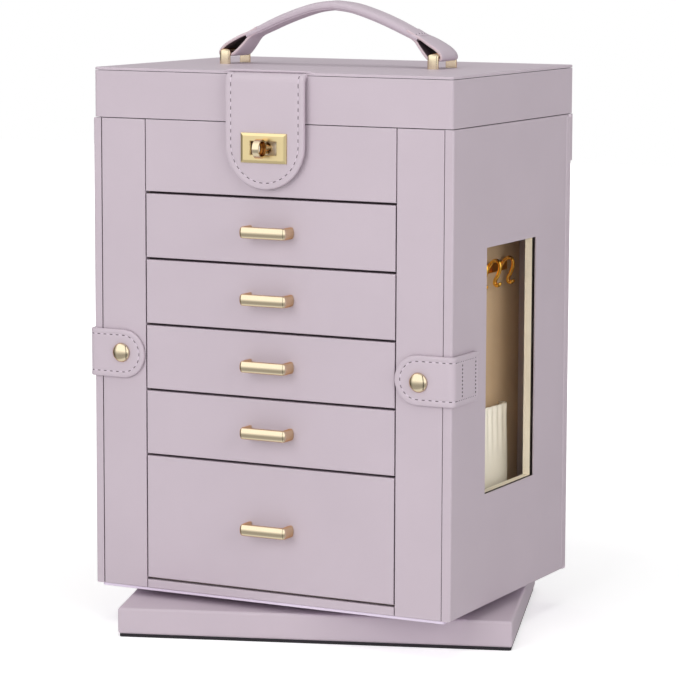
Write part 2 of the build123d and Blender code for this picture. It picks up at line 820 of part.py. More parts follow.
def bracket_feet():
    """Where the four legs of the two handle brackets stand on the lid."""
    reach = bracket_depth / 2 - bracket_bar / 2
    for side in (-1, 1):
        for way in (-1, 1):
            yield side * bracket_spacing / 2, lid_centre_y + way * reach


def bracket_rivet(place, grow=0.0):
    """The stem of one bracket leg that goes down through the lid."""
    return upright_cylinder(rivet_radius + grow, lid_top - rivet_length, lid_top, *place)


def make_brackets():
    """The two brass staples that hold the handle."""
    half_w, half_d = bracket_width / 2, bracket_depth / 2
    crown = lid_top + bracket_height
    staple = box_between((-half_w, -half_d, lid_top), (half_w, half_d, crown))
    corners = staple.edges().filter_by(Axis.X).sort_by(Axis.Z)[-2:]
    staple = softened(staple, bracket_corner, corners)
    inside = half_d - bracket_bar
    staple = staple - box_between(
        (-half_w - overrun, -inside, lid_top - overrun), (half_w + overrun, inside, crown - bracket_bar)
    )
    long_edges = staple.edges().filter_by(lambda edge: edge.center().Z > crown - bracket_bar / 2)
    staple = softened(staple, bracket_soft, long_edges.filter_by(Axis.Y))
    brackets = []
    for side in (-1, 1):
        brackets.append(Pos(side * bracket_spacing / 2, lid_centre_y, 0) * staple)
    feet = list(bracket_feet())
    brackets[0] = brackets[0] + bracket_rivet(feet[0]) + bracket_rivet(feet[1])
    brackets[1] = brackets[1] + bracket_rivet(feet[2]) + bracket_rivet(feet[3])
    return {"handle_brackets": group(brackets)}


def make_handle():
    """The leather handle: an arched grip whose flat ends fold round the brackets' bars."""
    crown = lid_top + handle_rise - grip_thick / 2
    ends = crown - grip_drop
    arch = ThreePointArc((-grip_half_span, 0, ends), (0, 0, crown), (grip_half_span, 0, ends))
    section = Plane(origin=arch @ 0, z_dir=arch % 0, x_dir=(0, 1, 0)) * RectangleRounded(
        grip_width, grip_thick, grip_soft
    )
    handle = sweep(section, path=arch)
    half = handle_strap_thick / 2
    bar_top = lid_top + bracket_height
    bar_low = bar_top - bracket_bar
    bar_x = bracket_spacing / 2
    outer_x = bar_x + bracket_width / 2 + handle_fold_gap + half
    under = bar_low - handle_fold_gap - half
    over = bar_top + handle_fold_gap + half
    inner_x = bar_x - bracket_width / 2
    join = grip_half_span - handle_strap_width / 4
    slope = grip_drop / grip_half_span
    join_up = ends + half + (grip_half_span - join) * slope
    with BuildSketch(Plane.XZ) as side:
        with BuildLine():
            FilletPolyline(
                (join, join_up),
                (bar_x, over + bracket_height / 2),
                (outer_x, over - half),
                (outer_x, under),
                (inner_x - half, under),
                (join, ends - half),
                radius=[bracket_height / 2, bracket_bar, bracket_bar / 2, bracket_bar],
            )
        trace(line_width=handle_strap_thick)
    fold = extrude(side.sketch, handle_strap_width / 2, both=True)
    handle = handle + fold + mirrored(fold)
    return {"carry_handle": Pos(0, lid_centre_y, 0) * handle}


def make_all():
    """Every sub-part of the jewelry box, by name."""
    parts = {}
    for maker in (
        make_base,
        make_underside,
        make_carcass,
        make_top_tray,
        make_drawers,
        make_sides,
        make_closure,
        make_lock,
        make_lid,
        make_hinge_flap,
        make_brackets,
        make_handle,
    ):
        parts.update(maker())
    return parts


os.makedirs("parts", exist_ok=True)
for node, shape in make_all().items():
    export_step(shape, f"parts/{node}.step")
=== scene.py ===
"""Looks of the rotating jewelry box: leatherette boards, stitched straps, brass and velvet.

Shapes are written in millimetres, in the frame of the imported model, and become metres
when a piece is made.
"""
from __future__ import annotations

import logging
import math
from collections.abc import Callable, Iterable, Iterator, Mapping, Sequence
from dataclasses import dataclass
from enum import Enum

import bmesh
import bpy
from mathutils import Matrix, Vector


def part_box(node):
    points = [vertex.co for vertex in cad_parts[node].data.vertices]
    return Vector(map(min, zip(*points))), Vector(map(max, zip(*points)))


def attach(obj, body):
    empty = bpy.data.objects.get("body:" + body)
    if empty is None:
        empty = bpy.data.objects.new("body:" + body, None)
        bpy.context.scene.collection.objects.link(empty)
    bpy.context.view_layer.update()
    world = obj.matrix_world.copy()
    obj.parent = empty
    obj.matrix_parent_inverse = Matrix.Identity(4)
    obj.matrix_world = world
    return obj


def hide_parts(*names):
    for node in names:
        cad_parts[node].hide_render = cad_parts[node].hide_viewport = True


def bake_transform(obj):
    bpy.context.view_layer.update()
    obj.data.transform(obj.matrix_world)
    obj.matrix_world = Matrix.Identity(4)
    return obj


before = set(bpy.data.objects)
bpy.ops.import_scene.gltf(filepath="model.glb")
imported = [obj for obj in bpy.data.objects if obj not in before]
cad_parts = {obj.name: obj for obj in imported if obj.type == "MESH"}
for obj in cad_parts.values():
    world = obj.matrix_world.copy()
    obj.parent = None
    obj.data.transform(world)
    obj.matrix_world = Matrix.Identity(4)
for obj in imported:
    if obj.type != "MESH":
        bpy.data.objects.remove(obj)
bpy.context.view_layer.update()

log = logging.getLogger("jewelry_box")

MM = 0.001
Colour = tuple[float, float, float]
Flat = tuple[float, float]
Place = Callable[[float, float, float], Vector]


class Side(Enum):
    """The two sides of the cabinet, by the sign of X."""

    LEFT = -1
    RIGHT = 1


class Slot(Enum):
    """Material slots of the record."""

    LEATHERETTE = "leatherette"
    TRIM = "leatherette_trim"
    VELVET = "velvet"
    BRASS = "brass"
    HOOK_GOLD = "hook_gold"
    PANE = "clear_pane"
    MIRROR = "mirror_glass"
    FOOT_PAD = "foot_pad"
    STEEL = "bearing_steel"
    BOTTOM_PLATE = "bottom_plate"


def seen(red: int, green: int, blue: int) -> Colour:
    """Turns a colour as a screen shows it into the linear one that shaders use.

    Args:
        red: Red from 0 to 255.
        green: Green from 0 to 255.
        blue: Blue from 0 to 255.

    Returns:
        The linear colour.
    """
    def linear(level: int) -> float:
        share = level / 255
        return share / 12.92 if share <= 0.04045 else ((share + 0.055) / 1.055) ** 2.4
    return linear(red), linear(green), linear(blue)


def eased(share: float) -> float:
    """A smooth step from 0 to 1, held at both ends."""
    share = min(max(share, 0.0), 1.0)
    return share * share * (3 - 2 * share)


def through(knots: Sequence[Sequence[float]], count: int) -> list[Vector]:
    """Samples a smooth curve that runs through a few chosen points.

    Args:
        knots: The points, with as many numbers each as the curve needs.
        count: How many samples to give.

    Returns:
        Samples evenly spread over the spans, ends included.
    """
    points = [Vector(knot) for knot in knots]
    points = [2 * points[0] - points[1], *points, 2 * points[-1] - points[-2]]
    spans = len(knots) - 1
    samples = []
    for step in range(count):
        at = step / (count - 1) * spans
        span = min(int(at), spans - 1)
        a, b, c, d = points[span:span + 4]
        t = at - span
        samples.append(
            b + (c - a) * (t / 2) + (2 * a - 5 * b + 4 * c - d) * (t * t / 2)
            + (3 * b - a - 3 * c + d) * (t ** 3 / 2)
        )
    return samples


def lookup(knots: Sequence[Flat], at: float) -> float:
    """Reads a height from a smooth curve that is given by a few (place, height) points."""
    curve = through(knots, 6 * len(knots))
    for near, far in zip(curve, curve[1:]):
        if at <= far.x:
            share = (at - near.x) / (far.x - near.x)
            return near.y + (far.y - near.y) * max(share, 0.0)
    return curve[-1].y


def square_to(line: Sequence[Vector]) -> Iterator[tuple[Vector, Vector]]:
    """Each point of a flat line, with the direction square to the line there."""
    for before, here, after in zip([line[0], *line], line, [*line[1:], line[-1]]):
        way = (after - before).normalized()
        yield here, Vector((-way.y, way.x))


def node_box(node: str) -> tuple[Vector, Vector]:
    """The lowest and highest corner of a CAD node, in millimetres."""
    low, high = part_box(node)
    return low / MM, high / MM


class Link:
    """An output socket that Python's operators turn into Math nodes."""

    def __init__(self, recipe: "Recipe", socket: bpy.types.NodeSocket) -> None:
        """Keeps the socket and the recipe that its node belongs to."""
        self.recipe = recipe
        self.socket = socket

    def _math(self, operation: str, first: "Link | float", second: "Link | float") -> "Link":
        """Adds one Math node."""
        return self.recipe.node("ShaderNodeMath", {"operation": operation}, {0: first, 1: second})

    def __add__(self, other: "Link | float") -> "Link":
        """self + other."""
        return self._math("ADD", self, other)

    def __radd__(self, other: float) -> "Link":
        """other + self."""
        return self._math("ADD", other, self)

    def __sub__(self, other: "Link | float") -> "Link":
        """self - other."""
        return self._math("SUBTRACT", self, other)

    def __rsub__(self, other: float) -> "Link":
        """other - self."""
        return self._math("SUBTRACT", other, self)

    def __mul__(self, other: "Link | float") -> "Link":
        """self * other."""
        return self._math("MULTIPLY", self, other)

    def __rmul__(self, other: float) -> "Link":
        """other * self."""
        return self._math("MULTIPLY", other, self)


class Recipe:
    """One material's node tree while it is being written."""

    def __init__(self, tree: bpy.types.NodeTree) -> None:
        """Empties the tree and starts from nothing."""
        self.tree = tree
        self.tree.nodes.clear()

    def node(
        self,
        kind: str,
        settings: Mapping[str, object] | None = None,
        values: Mapping[int | str, "Link | float | Sequence[float]"] | None = None,
        output: int | str = 0,
    ) -> Link:
        """Adds a node.

        Args:
            kind: The node's type.
            settings: Its properties, set before its sockets. "stops" are a ramp's stops.
            values: Values or links, by the name or index of the input socket.
            output: The output that the result reads.

        Returns:
            The chosen output.
        """
        made = self.tree.nodes.new(kind)
        for key, value in (settings or {}).items():
            if key == "stops":
                self._stops(made.color_ramp, value)
            else:
                setattr(made, key, value)
        for key, value in (values or {}).items():
            if isinstance(value, Link):
                self.tree.links.new(value.socket, made.inputs[key])
            else:
                made.inputs[key].default_value = value
        return Link(self, made.outputs[output])

    @staticmethod
    def _stops(ramp: bpy.types.ColorRamp, stops: Sequence[tuple[float, float]]) -> None:
        """Writes grey stops, as (place, brightness), on a ramp."""
        while len(ramp.elements) < len(stops):
            ramp.elements.new(0.5)
        for element, (place, level) in zip(ramp.elements, stops):
            element.position = place
            element.color = (level, level, level, 1)

    def place(self) -> Link:
        """The place on the object, in metres, which moves with the piece."""
        return self.node("ShaderNodeTexCoord", output="Object")

    def noise(self, size: float, detail: float = 2.0, where: Link | None = None) -> Link:
        """Cloudy noise with features of the given size in millimetres."""
        values = {"Vector": where or self.place(), "Scale": 1 / (size * MM), "Detail": detail}
        return self.node("ShaderNodeTexNoise", {}, values)

    def stretched(self, scale: Sequence[float]) -> Link:
        """The place on the object with each axis scaled."""
        return self.node("ShaderNodeMapping", {}, {"Vector": self.place(), "Scale": scale})

    def cells(self, size: float) -> Link:
        """Distance from the middles of random cells of the given size in millimetres."""
        values = {"Vector": self.place(), "Scale": 1 / (size * MM)}
        return self.node("ShaderNodeTexVoronoi", {}, values, "Distance")

    def ramp(self, source: Link, *stops: tuple[float, float]) -> Link:
        """Maps a value through grey stops."""
        return self.node("ShaderNodeValToRGB", {"stops": stops}, {0: source})

    def colour(self, factor: Link | float, first: Link | Colour, second: Link | Colour) -> Link:
        """Mixes two colours."""
        values = {0: factor}
        for socket, value in ((6, first), (7, second)):
            values[socket] = value if isinstance(value, Link) else (*value, 1)
        return self.node("ShaderNodeMix", {"data_type": "RGBA"}, values, 2)

    def level(self, factor: Link | float, first: Link | float, second: Link | float) -> Link:
        """Mixes two plain values."""
        return self.node("ShaderNodeMix", {"data_type": "FLOAT"}, {0: factor, 2: first, 3: second})

    def ray(self, kind: str) -> Link:
        """1 for one kind of ray and 0 for the others."""
        return self.node("ShaderNodeLightPath", output=kind)

    def edges(self, radius: float) -> Link:
        """A mask that is 1 on edges sharper than the radius, in millimetres, and 0 on flats."""
        round_normal = self.node("ShaderNodeBevel", {"samples": 4}, {"Radius": radius * MM})
        true_normal = self.node("ShaderNodeNewGeometry", output="Normal")
        agreement = self.node(
            "ShaderNodeVectorMath", {"operation": "DOT_PRODUCT"}, {0: round_normal, 1: true_normal}, "Value"
        )
        return self.ramp(1 - agreement, (0.01, 0.0), (0.25, 1.0))

    def shade_in_gaps(self, reach: float) -> Link:
        """A mask that is 1 deep in gaps narrower than the reach, in millimetres, and 0 in the open; it paints
        shade into gaps.
        """
        open_share = self.node("ShaderNodeAmbientOcclusion", {"samples": 6}, {"Distance": reach * MM}, "AO")
        return self.ramp(1 - open_share, (0.5, 0.0), (0.85, 1.0))

    def bump(self, height: Link, depth: float) -> Link:
        """A normal from a height, where a height of 1 is depth millimetres."""
        return self.node("ShaderNodeBump", {}, {"Height": height, "Distance": depth * MM})

    def finish(self, values: Mapping[str, object]) -> None:
        """Closes the tree with one Principled shader."""
        shader = self.node("ShaderNodeBsdfPrincipled", {}, values)
        self.node_end(shader)

    def node_end(self, shader: Link) -> None:
        """Joins a shader to the material's output."""
        made = self.tree.nodes.new("ShaderNodeOutputMaterial")
        self.tree.links.new(shader.socket, made.inputs["Surface"])


@dataclass(frozen=True)
class Finish:
    """What every finish has: its name and the record's slot that it dresses."""

    name: str
    slot: Slot

    def write(self, recipe: Recipe) -> None:
        """Writes the finish's nodes."""
        raise NotImplementedError

    def material(self) -> bpy.types.Material:
        """The finish's material, made once."""
        made = bpy.data.materials.get(self.name)
        if made is None:
            made = bpy.data.materials.new(self.name)
            made.use_nodes = True
            self.write(Recipe(made.node_tree))
        return made


@dataclass(frozen=True)
class Leatherette(Finish):
    """Fine-grained coated fabric: pebbled grain, a soft lustre, paler edges that are partly wear and partly
    painted highlight, and painted shade in the gaps.
    """

    colour: Colour = seen(206, 192, 202)
    # Paler edge colour: partly wear, partly a painted highlight on the rounded edges.
    rubbed_and_highlit: Colour = seen(226, 213, 224)
    # crease: the colour of painted shade laid into narrow gaps and seams
    crease: Colour = seen(92, 76, 88)
    grain: float = 0.9
    grain_depth: float = 0.035
    lustre: float = 0.42
    edge: float = 1.1

    def write(self, recipe: Recipe) -> None:
        """Grain from cells, a cloudy tone, paler edges (wear plus painted highlight), painted shade in narrow
        gaps and uneven lustre.
        """
        cloud = recipe.noise(60.0, 3.0)
        pores = recipe.cells(self.grain)
        fine = recipe.noise(self.grain / 2)
        shade = tuple(channel * 0.965 for channel in self.colour)
        tone = recipe.colour(recipe.ramp(cloud, (0.3, 0.0), (0.7, 1.0)), shade, self.colour)
        tone = recipe.colour(recipe.ramp(pores, (0.55, 0.0), (0.95, 0.35)), tone, shade)
        # Edges are painted paler: partly wear, partly painted highlight where rounded edges catch light.
        edge_paint = recipe.edges(self.edge) * 0.55
        # Painted shade: narrow gaps and seams are darkened towards the crease colour.
        tone = recipe.colour(recipe.shade_in_gaps(2.5), tone, self.crease)
        tone = recipe.colour(edge_paint, tone, self.rubbed_and_highlit)
        height = pores * 0.7 + fine * 0.3
        recipe.finish({
            "Base Color": tone,
            "Roughness": self.lustre + cloud * 0.1 - edge_paint * 0.08,
            "Specular IOR Level": 0.25,
            "Normal": recipe.bump(height, self.grain_depth),
        })


@dataclass(frozen=True)
class RawEdge(Finish):
    """The cut and painted edge of a leather strap."""

    colour: Colour = seen(224, 204, 210)

    def write(self, recipe: Recipe) -> None:
        """Fibres that run along the cut, in a pale paint."""
        fibres = recipe.noise(0.8, 3.0)
        shade = tuple(channel * 0.85 for channel in self.colour)
        recipe.finish({
            "Base Color": recipe.colour(fibres, shade, self.colour),
            "Roughness": 0.45 + fibres * 0.2,
            "Normal": recipe.bump(fibres, 0.05),
        })


@dataclass(frozen=True)
class Thread(Finish):
    """Twisted sewing thread."""

    colour: Colour = seen(232, 218, 230)

    def write(self, recipe: Recipe) -> None:
        """Fine twist lines over a slightly uneven dye."""
        twist = recipe.noise(0.35, 2.0)
        shade = tuple(channel * 0.8 for channel in self.colour)
        recipe.finish({
            "Base Color": recipe.colour(twist, shade, self.colour),
            "Roughness": 0.5 + twist * 0.15,
            "Normal": recipe.bump(twist, 0.06),
        })


@dataclass(frozen=True)
class DarkMatt(Finish):
    """A dull dark surface used as painted shade: in the needle holes, on the shelves behind the drawer gaps
    and on the undersides of straps.
    """

    colour: Colour = seen(34, 22, 32)

    def write(self, recipe: Recipe) -> None:
        """Dull and nearly black, with a little dust."""
        dust = recipe.noise(0.4)
        recipe.finish({
            "Base Color": recipe.colour(dust * 0.3, self.colour, seen(96, 80, 92)),
            "Roughness": 0.85 + dust * 0.1,
        })


@dataclass(frozen=True)
class Velvet(Finish):
    """Short-pile velvet flock."""

    colour: Colour = seen(240, 228, 208)
    pile: float = 0.7
    # Distance from the middle, in millimetres, past which the velvet is painted near-black as painted shade;
    # None paints none.
    shaded_beyond: float | None = None

    def write(self, recipe: Recipe) -> None:
        """Brushed patches, a fine pile, sheen at grazing angles and, where set, a band of painted shade."""
        brushed = recipe.noise(22.0, 3.0)
        nap = recipe.noise(self.pile, 2.0)
        shade = tuple(channel * 0.86 for channel in self.colour)
        patch = recipe.ramp(brushed, (0.34, 0.0), (0.68, 1.0))
        tone = recipe.colour(patch * 0.4 + nap * 0.4 + 0.1, shade, self.colour)
        # Painted shade: past the set distance the lining is painted near-black, standing for the shadowed gap
        # under the door's leather edge.
        if self.shaded_beyond is not None:
            across = recipe.node("ShaderNodeSeparateXYZ", {}, {0: recipe.place()}, "X")
            aside = recipe.node("ShaderNodeMath", {"operation": "ABSOLUTE"}, {0: across})
            limits = {0: aside, 1: self.shaded_beyond * MM}
            painted_shade = recipe.node("ShaderNodeMath", {"operation": "GREATER_THAN"}, limits)
            tone = recipe.colour(painted_shade, tone, seen(40, 30, 30))
        recipe.finish({
            "Base Color": tone,
            "Roughness": 0.86 + nap * 0.1,
            "Sheen Weight": 0.1,
            "Sheen Roughness": 0.4,
            "Sheen Tint": (*self.colour, 1),
            "Specular IOR Level": 0.2,
            "Normal": recipe.bump(nap, 0.12),
        })


@dataclass(frozen=True)
class Metal(Finish):
    """Plated or bare metal, from polished to satin."""

    colour: Colour = seen(226, 210, 180)
    grazing: Colour = seen(255, 190, 120)
    roughness: float = 0.1
    brush: Colour = (1.0, 1.0, 1.0)

    def write(self, recipe: Recipe) -> None:
        """Faint cloudy polish, fine scratches and edges painted slightly darker."""
        haze = recipe.noise(7.0, 3.0)
        lines = recipe.noise(0.5, 2.0, recipe.stretched(self.brush))
        dull = tuple(channel * 0.86 for channel in self.colour)
        edge_paint = recipe.edges(0.6)
        # Edges are painted a little darker than the flat faces.
        tone = recipe.colour(haze * 0.35 + edge_paint * 0.2, self.colour, dull)
        recipe.finish({
            "Base Color": tone,
            "Metallic": 1.0,
            "Specular Tint": (*self.grazing, 1),
            "Roughness": self.roughness + haze * 0.04 + lines * 0.03,
            "Normal": recipe.bump(lines, 0.004),
        })


@dataclass(frozen=True)
class ClearPane(Finish):
    """A thin clear acrylic pane."""

    def write(self, recipe: Recipe) -> None:
        """Mostly see-through, with a clear coat and a few faint smears."""
        smear = recipe.ramp(recipe.noise(30.0, 3.0), (0.5, 0.0), (0.75, 1.0))
        gloss = recipe.node("ShaderNodeBsdfPrincipled", {}, {
            "Base Color": (0.9, 0.9, 0.9, 1),
            "Roughness": smear * 0.08 + 0.03,
            "Alpha": 0.1,
            "Coat Weight": 0.3,
        })
        clear = recipe.node("ShaderNodeBsdfTransparent", {}, {"Color": (0.97, 0.97, 0.96, 1)})
        facing = recipe.node("ShaderNodeFresnel", {}, {"IOR": 1.45})
        recipe.node_end(recipe.node("ShaderNodeMixShader", {}, {0: facing * 0.06 + 0.01, 1: clear, 2: gloss}))


@dataclass(frozen=True)
class Mirror(Finish):
    """Silvered glass."""

    def write(self, recipe: Recipe) -> None:
        """Bright silver with the faintest haze."""
        haze = recipe.noise(40.0)
        recipe.finish({
            "Base Color": recipe.colour(haze, (0.86, 0.88, 0.88), (0.9, 0.91, 0.91)),
            "Metallic": 1.0,
            "Roughness": haze * 0.03,
            "Coat Weight": 0.5,
        })


@dataclass(frozen=True)
class Felt(Finish):
    """Black anti-slip pad under the plinth."""

    colour: Colour = seen(30, 28, 32)

    def write(self, recipe: Recipe) -> None:
        """Tangled short fibres."""
        fibre = recipe.noise(0.9, 4.0)
        recipe.finish({
            "Base Color": recipe.colour(fibre, self.colour, seen(52, 49, 54)),
            "Roughness": 0.8 + fibre * 0.15,
            "Normal": recipe.bump(fibre, 0.15),
        })


@dataclass(frozen=True)
class Enamel(Finish):
    """Pale lilac enamel on the thin plate under the cabinet."""

    colour: Colour = seen(238, 224, 244)

    def write(self, recipe: Recipe) -> None:
        """A smooth coat with slight orange peel, and edges painted paler as a painted highlight."""
        peel = recipe.noise(1.6, 2.0)
        edge_paint = recipe.edges(0.8)
        recipe.finish({
            # Painted highlight: the plate's rounded edges are painted paler.
            "Base Color": recipe.colour(edge_paint * 0.4, self.colour, seen(250, 244, 252)),
            "Roughness": 0.25 + peel * 0.08,
            "Coat Weight": 0.4,
            "Normal": recipe.bump(peel, 0.02),
        })


LEATHER = Leatherette("grained_leather", Slot.LEATHERETTE)
TRIM = Leatherette("trim_leather", Slot.TRIM, colour=seen(207, 193, 203), grain=0.75, edge=0.8)
RAW_EDGE = RawEdge("raw_edge", Slot.TRIM)
THREAD = Thread("thread", Slot.TRIM)
# Needle holes: flat dark ovals, painted shade instead of real holes.
NEEDLE_HOLE_SHADE = DarkMatt("needle_hole", Slot.TRIM)
# Strap undersides: a dark finish, painted shade inside the folds round the handle brackets.
UNDERSIDE_SHADE = DarkMatt("strap_underside", Slot.TRIM, seen(84, 68, 74))
VELVET = Velvet("cream_velvet", Slot.VELVET)
# Door lining velvet with a band of painted shade round its outer rim.
EDGE_SHADED_VELVET = Velvet("backed_velvet", Slot.VELVET, shaded_beyond=137.9)
POLISHED = Metal("polished_brass", Slot.BRASS)
SATIN = Metal(
    "satin_brass", Slot.BRASS, seen(232, 212, 162), seen(250, 226, 170), 0.26, brush=(1.0, 1.0, 8.0)
)
HOOK_GOLD = Metal("gilt_wire", Slot.HOOK_GOLD, seen(252, 196, 84), seen(255, 206, 110), 0.14)
SHADED = Metal("shaded_brass", Slot.BRASS, seen(150, 96, 44), seen(190, 130, 70), 0.3)
# Near-white copy of the brass: painted highlight, standing for the bright reflection off the lock base.
HIGHLIT_BRASS = Metal("plated_brass", Slot.BRASS, seen(255, 246, 226), seen(255, 240, 210), 0.35)
STEEL = Metal("ball_steel", Slot.STEEL, seen(180, 180, 184), seen(220, 220, 224), 0.3)
# A paler copy of the cream velvet: painted light for the pockets in the dim compartments.
LIT_CREAM_VELVET = Velvet("pale_velvet", Slot.VELVET, seen(250, 243, 230))
# A darker, browner copy of the cream velvet: painted shade for the partitions and floor inside the side
# compartments.
SHADED_CREAM_VELVET = Velvet("taupe_velvet", Slot.VELVET, seen(206, 178, 146))
# Near-black shelves: painted shade, so the gaps between the drawer fronts read dark.
GAP_SHADE_BOARD = DarkMatt("dark_board", Slot.VELVET, seen(60, 50, 54))
PANE = ClearPane("acrylic_pane", Slot.PANE)
MIRROR = Mirror("silvered_mirror", Slot.MIRROR)
FELT = Felt("black_felt", Slot.FOOT_PAD)
ENAMEL = Enamel("pale_enamel", Slot.BOTTOM_PLATE)


class Draft:
    """Points and faces of one piece, in millimetres, before it becomes an object."""

    def __init__(self) -> None:
        """Starts with nothing."""
        self.points: list[Vector] = []
        self.faces: list[tuple[int, ...]] = []
        self.inks: list[int] = []

    def face(self, corners: Iterable[int], ink: int) -> None:
        """Adds one face in one of the piece's finishes."""
        self.faces.append(tuple(corners))
        self.inks.append(ink)

    def rows(
        self,
        rows: Sequence[Sequence[Vector]],
        ring: bool = True,
        caps: bool = True,
        ink: int | Sequence[int] = 0,
    ) -> None:
        """Joins rows of points into a skin.

        Args:
            rows: Rows with the same number of points.
            ring: Whether each row closes on itself.
            caps: Whether the first and the last row are closed with a face.
            ink: The finish's number, or one for each column of faces.
        """
        start = len(self.points)
        width = len(rows[0])
        for row in rows:
            self.points.extend(row)
        columns = width if ring else width - 1
        for r in range(len(rows) - 1):
            for c in range(columns):
                a, b = start + r * width + c, start + r * width + (c + 1) % width
                chosen = ink if isinstance(ink, int) else ink[c]
                self.face((a, b, b + width, a + width), chosen)
        if caps and ring:
            chosen = ink if isinstance(ink, int) else ink[0]
            self.face(range(start, start + width), chosen)
            last = start + (len(rows) - 1) * width
            self.face(range(last, last + width), chosen)

    def piece(
        self,
        name: str,
        finishes: Sequence[Finish],
        sharp: float = 50.0,
    ) -> bpy.types.Object:
        """Makes the object.

        Args:
            name: Its name.
            finishes: The finishes that the inks stand for.
            sharp: Edges that bend more than this many degrees stay crisp.

        Returns:
            The object, with smooth shading and outward faces.
        """
        mesh = bpy.data.meshes.new(name)
        build = bmesh.new()
        corners = [build.verts.new(point * MM) for point in self.points]
        for face, ink in zip(self.faces, self.inks):
            made = build.faces.new([corners[i] for i in face])
            made.material_index = ink
            made.smooth = True
        bmesh.ops.remove_doubles(build, verts=build.verts, dist=0.004 * MM)
        bmesh.ops.dissolve_degenerate(build, edges=build.edges, dist=0.002 * MM)
        bmesh.ops.recalc_face_normals(build, faces=build.faces)
        build.to_mesh(mesh)
        build.free()
        mesh.set_sharp_from_angle(angle=math.radians(sharp))
        made = bpy.data.objects.new(name, mesh)
        bpy.context.scene.collection.objects.link(made)
        for finish in finishes:
            mesh.materials.append(finish.material())
        return made


def carve(piece: bpy.types.Object, cutter: Draft) -> None:
    """Cuts a closed shape out of a piece's mesh.

    Args:
        piece: The piece, with no other modifiers.
        cutter: The shape that is taken away.
    """
    tool = cutter.piece(f"{piece.name}_cutter", [VELVET])
    cut = piece.modifiers.new("cut", "BOOLEAN")
    cut.object = tool
    cut.operation = "DIFFERENCE"
    cut.solver = "EXACT"
    bpy.context.view_layer.update()
    done = bpy.data.meshes.new_from_object(piece.evaluated_get(bpy.context.evaluated_depsgraph_get()))
    piece.modifiers.clear()
    piece.data = done
    bpy.data.objects.remove(tool)


def block(low: Sequence[float], high: Sequence[float]) -> Draft:
    """A plain box that serves as a cutter."""
    draft = Draft()
    corners = ((low[0], low[1]), (high[0], low[1]), (high[0], high[1]), (low[0], high[1]))
    draft.rows([[Vector((x, y, z)) for x, y in corners] for z in (low[2], high[2])])
    return draft


def lathe(profile: Sequence[Flat], place: Place, sides: int = 48) -> list[list[Vector]]:
    """Rows of a turned shape.

    Args:
        profile: Points as (radius, height).
        place: Puts a point, given across, up and along the axis, in the model.
        sides: Points in each ring.

    Returns:
        One ring for each point of the profile.
    """
    turns = [2 * math.pi * i / sides for i in range(sides)]
    return [
        [place(radius * math.cos(turn), radius * math.sin(turn), height) for turn in turns]
        for radius, height in profile
    ]


@dataclass(frozen=True)
class Bend:
    """A strap's outer line in a plane: a straight run, a round corner and a second run."""

    start: Flat
    heading: Flat
    outward: Flat
    first_run: float
    radius: float

    def at(self, along: float) -> tuple[Flat, Flat]:
        """The outer line's point and its outward direction.

        Args:
            along: Distance from the strap's tip.

        Returns:
            The point and the direction, in the plane.
        """
        head, out = Vector(self.heading), Vector(self.outward)
        begin = Vector(self.start)
        if along <= self.first_run:
            return begin + head * along, out
        corner = begin + head * self.first_run
        centre = corner - out * self.radius
        turn = min((along - self.first_run) / self.radius, math.pi / 2)
        facing = out * math.cos(turn) + head * math.sin(turn)
        onward = max(along - self.first_run - self.radius * math.pi / 2, 0.0)
        return centre + facing * self.radius - out * onward, facing


@dataclass(frozen=True)
class Staple:
    """A metal bar with both ends turned back at a right angle and a bulged outer face."""

    half_span: float
    reach: float
    corner: float
    width: float
    thick: float
    bulge: float
    edge: float = 0.35

    def line(self) -> Iterator[tuple[Vector, Vector]]:
        """The outer line as (along, out) points with their outward directions, from foot to foot."""
        straight = self.reach - self.corner
        for step in range(5):
            yield Vector((-self.half_span, straight * step / 4)), Vector((-1.0, 0.0))
        for side in (-1, 1):
            centre = Vector((side * (self.half_span - self.corner), straight))
            for step in range(1, 12):
                turn = math.pi / 2 * (step / 12 if side < 0 else 1 - step / 12)
                facing = Vector((side * math.cos(turn), math.sin(turn)))
                yield centre + facing * self.corner, facing
            if side < 0:
                run = self.half_span - self.corner
                for step in range(17):
                    yield Vector((-run + 2 * run * step / 16, self.reach)), Vector((0.0, 1.0))
        for step in range(5):
            yield Vector((self.half_span, straight * (1 - step / 4))), Vector((1.0, 0.0))

    def section(self) -> list[Flat]:
        """The bar's section as (depth below the outer line, across) points."""
        half = self.width / 2
        turns = [math.pi * (step / 20 - 0.5) for step in range(21)]
        outer = [(self.bulge * (1 - math.cos(turn)), half * math.sin(turn)) for turn in turns]
        back = self.thick
        inner = [(back - self.edge, half), (back, half - self.edge), (back, self.edge - half)]
        return outer + inner + [(back - self.edge, -half)]

    def skin(self, draft: Draft, place: Place) -> None:
        """Adds the bar's closed skin.

        Args:
            draft: Takes the faces.
            place: Puts (along, out, across) in the model.
        """
        section = self.section()
        rows = []
        for spot, facing in self.line():
            points = [(spot - facing * depth, across) for depth, across in section]
            rows.append([place(point.x, point.y, across) for point, across in points])
        draft.rows(rows)


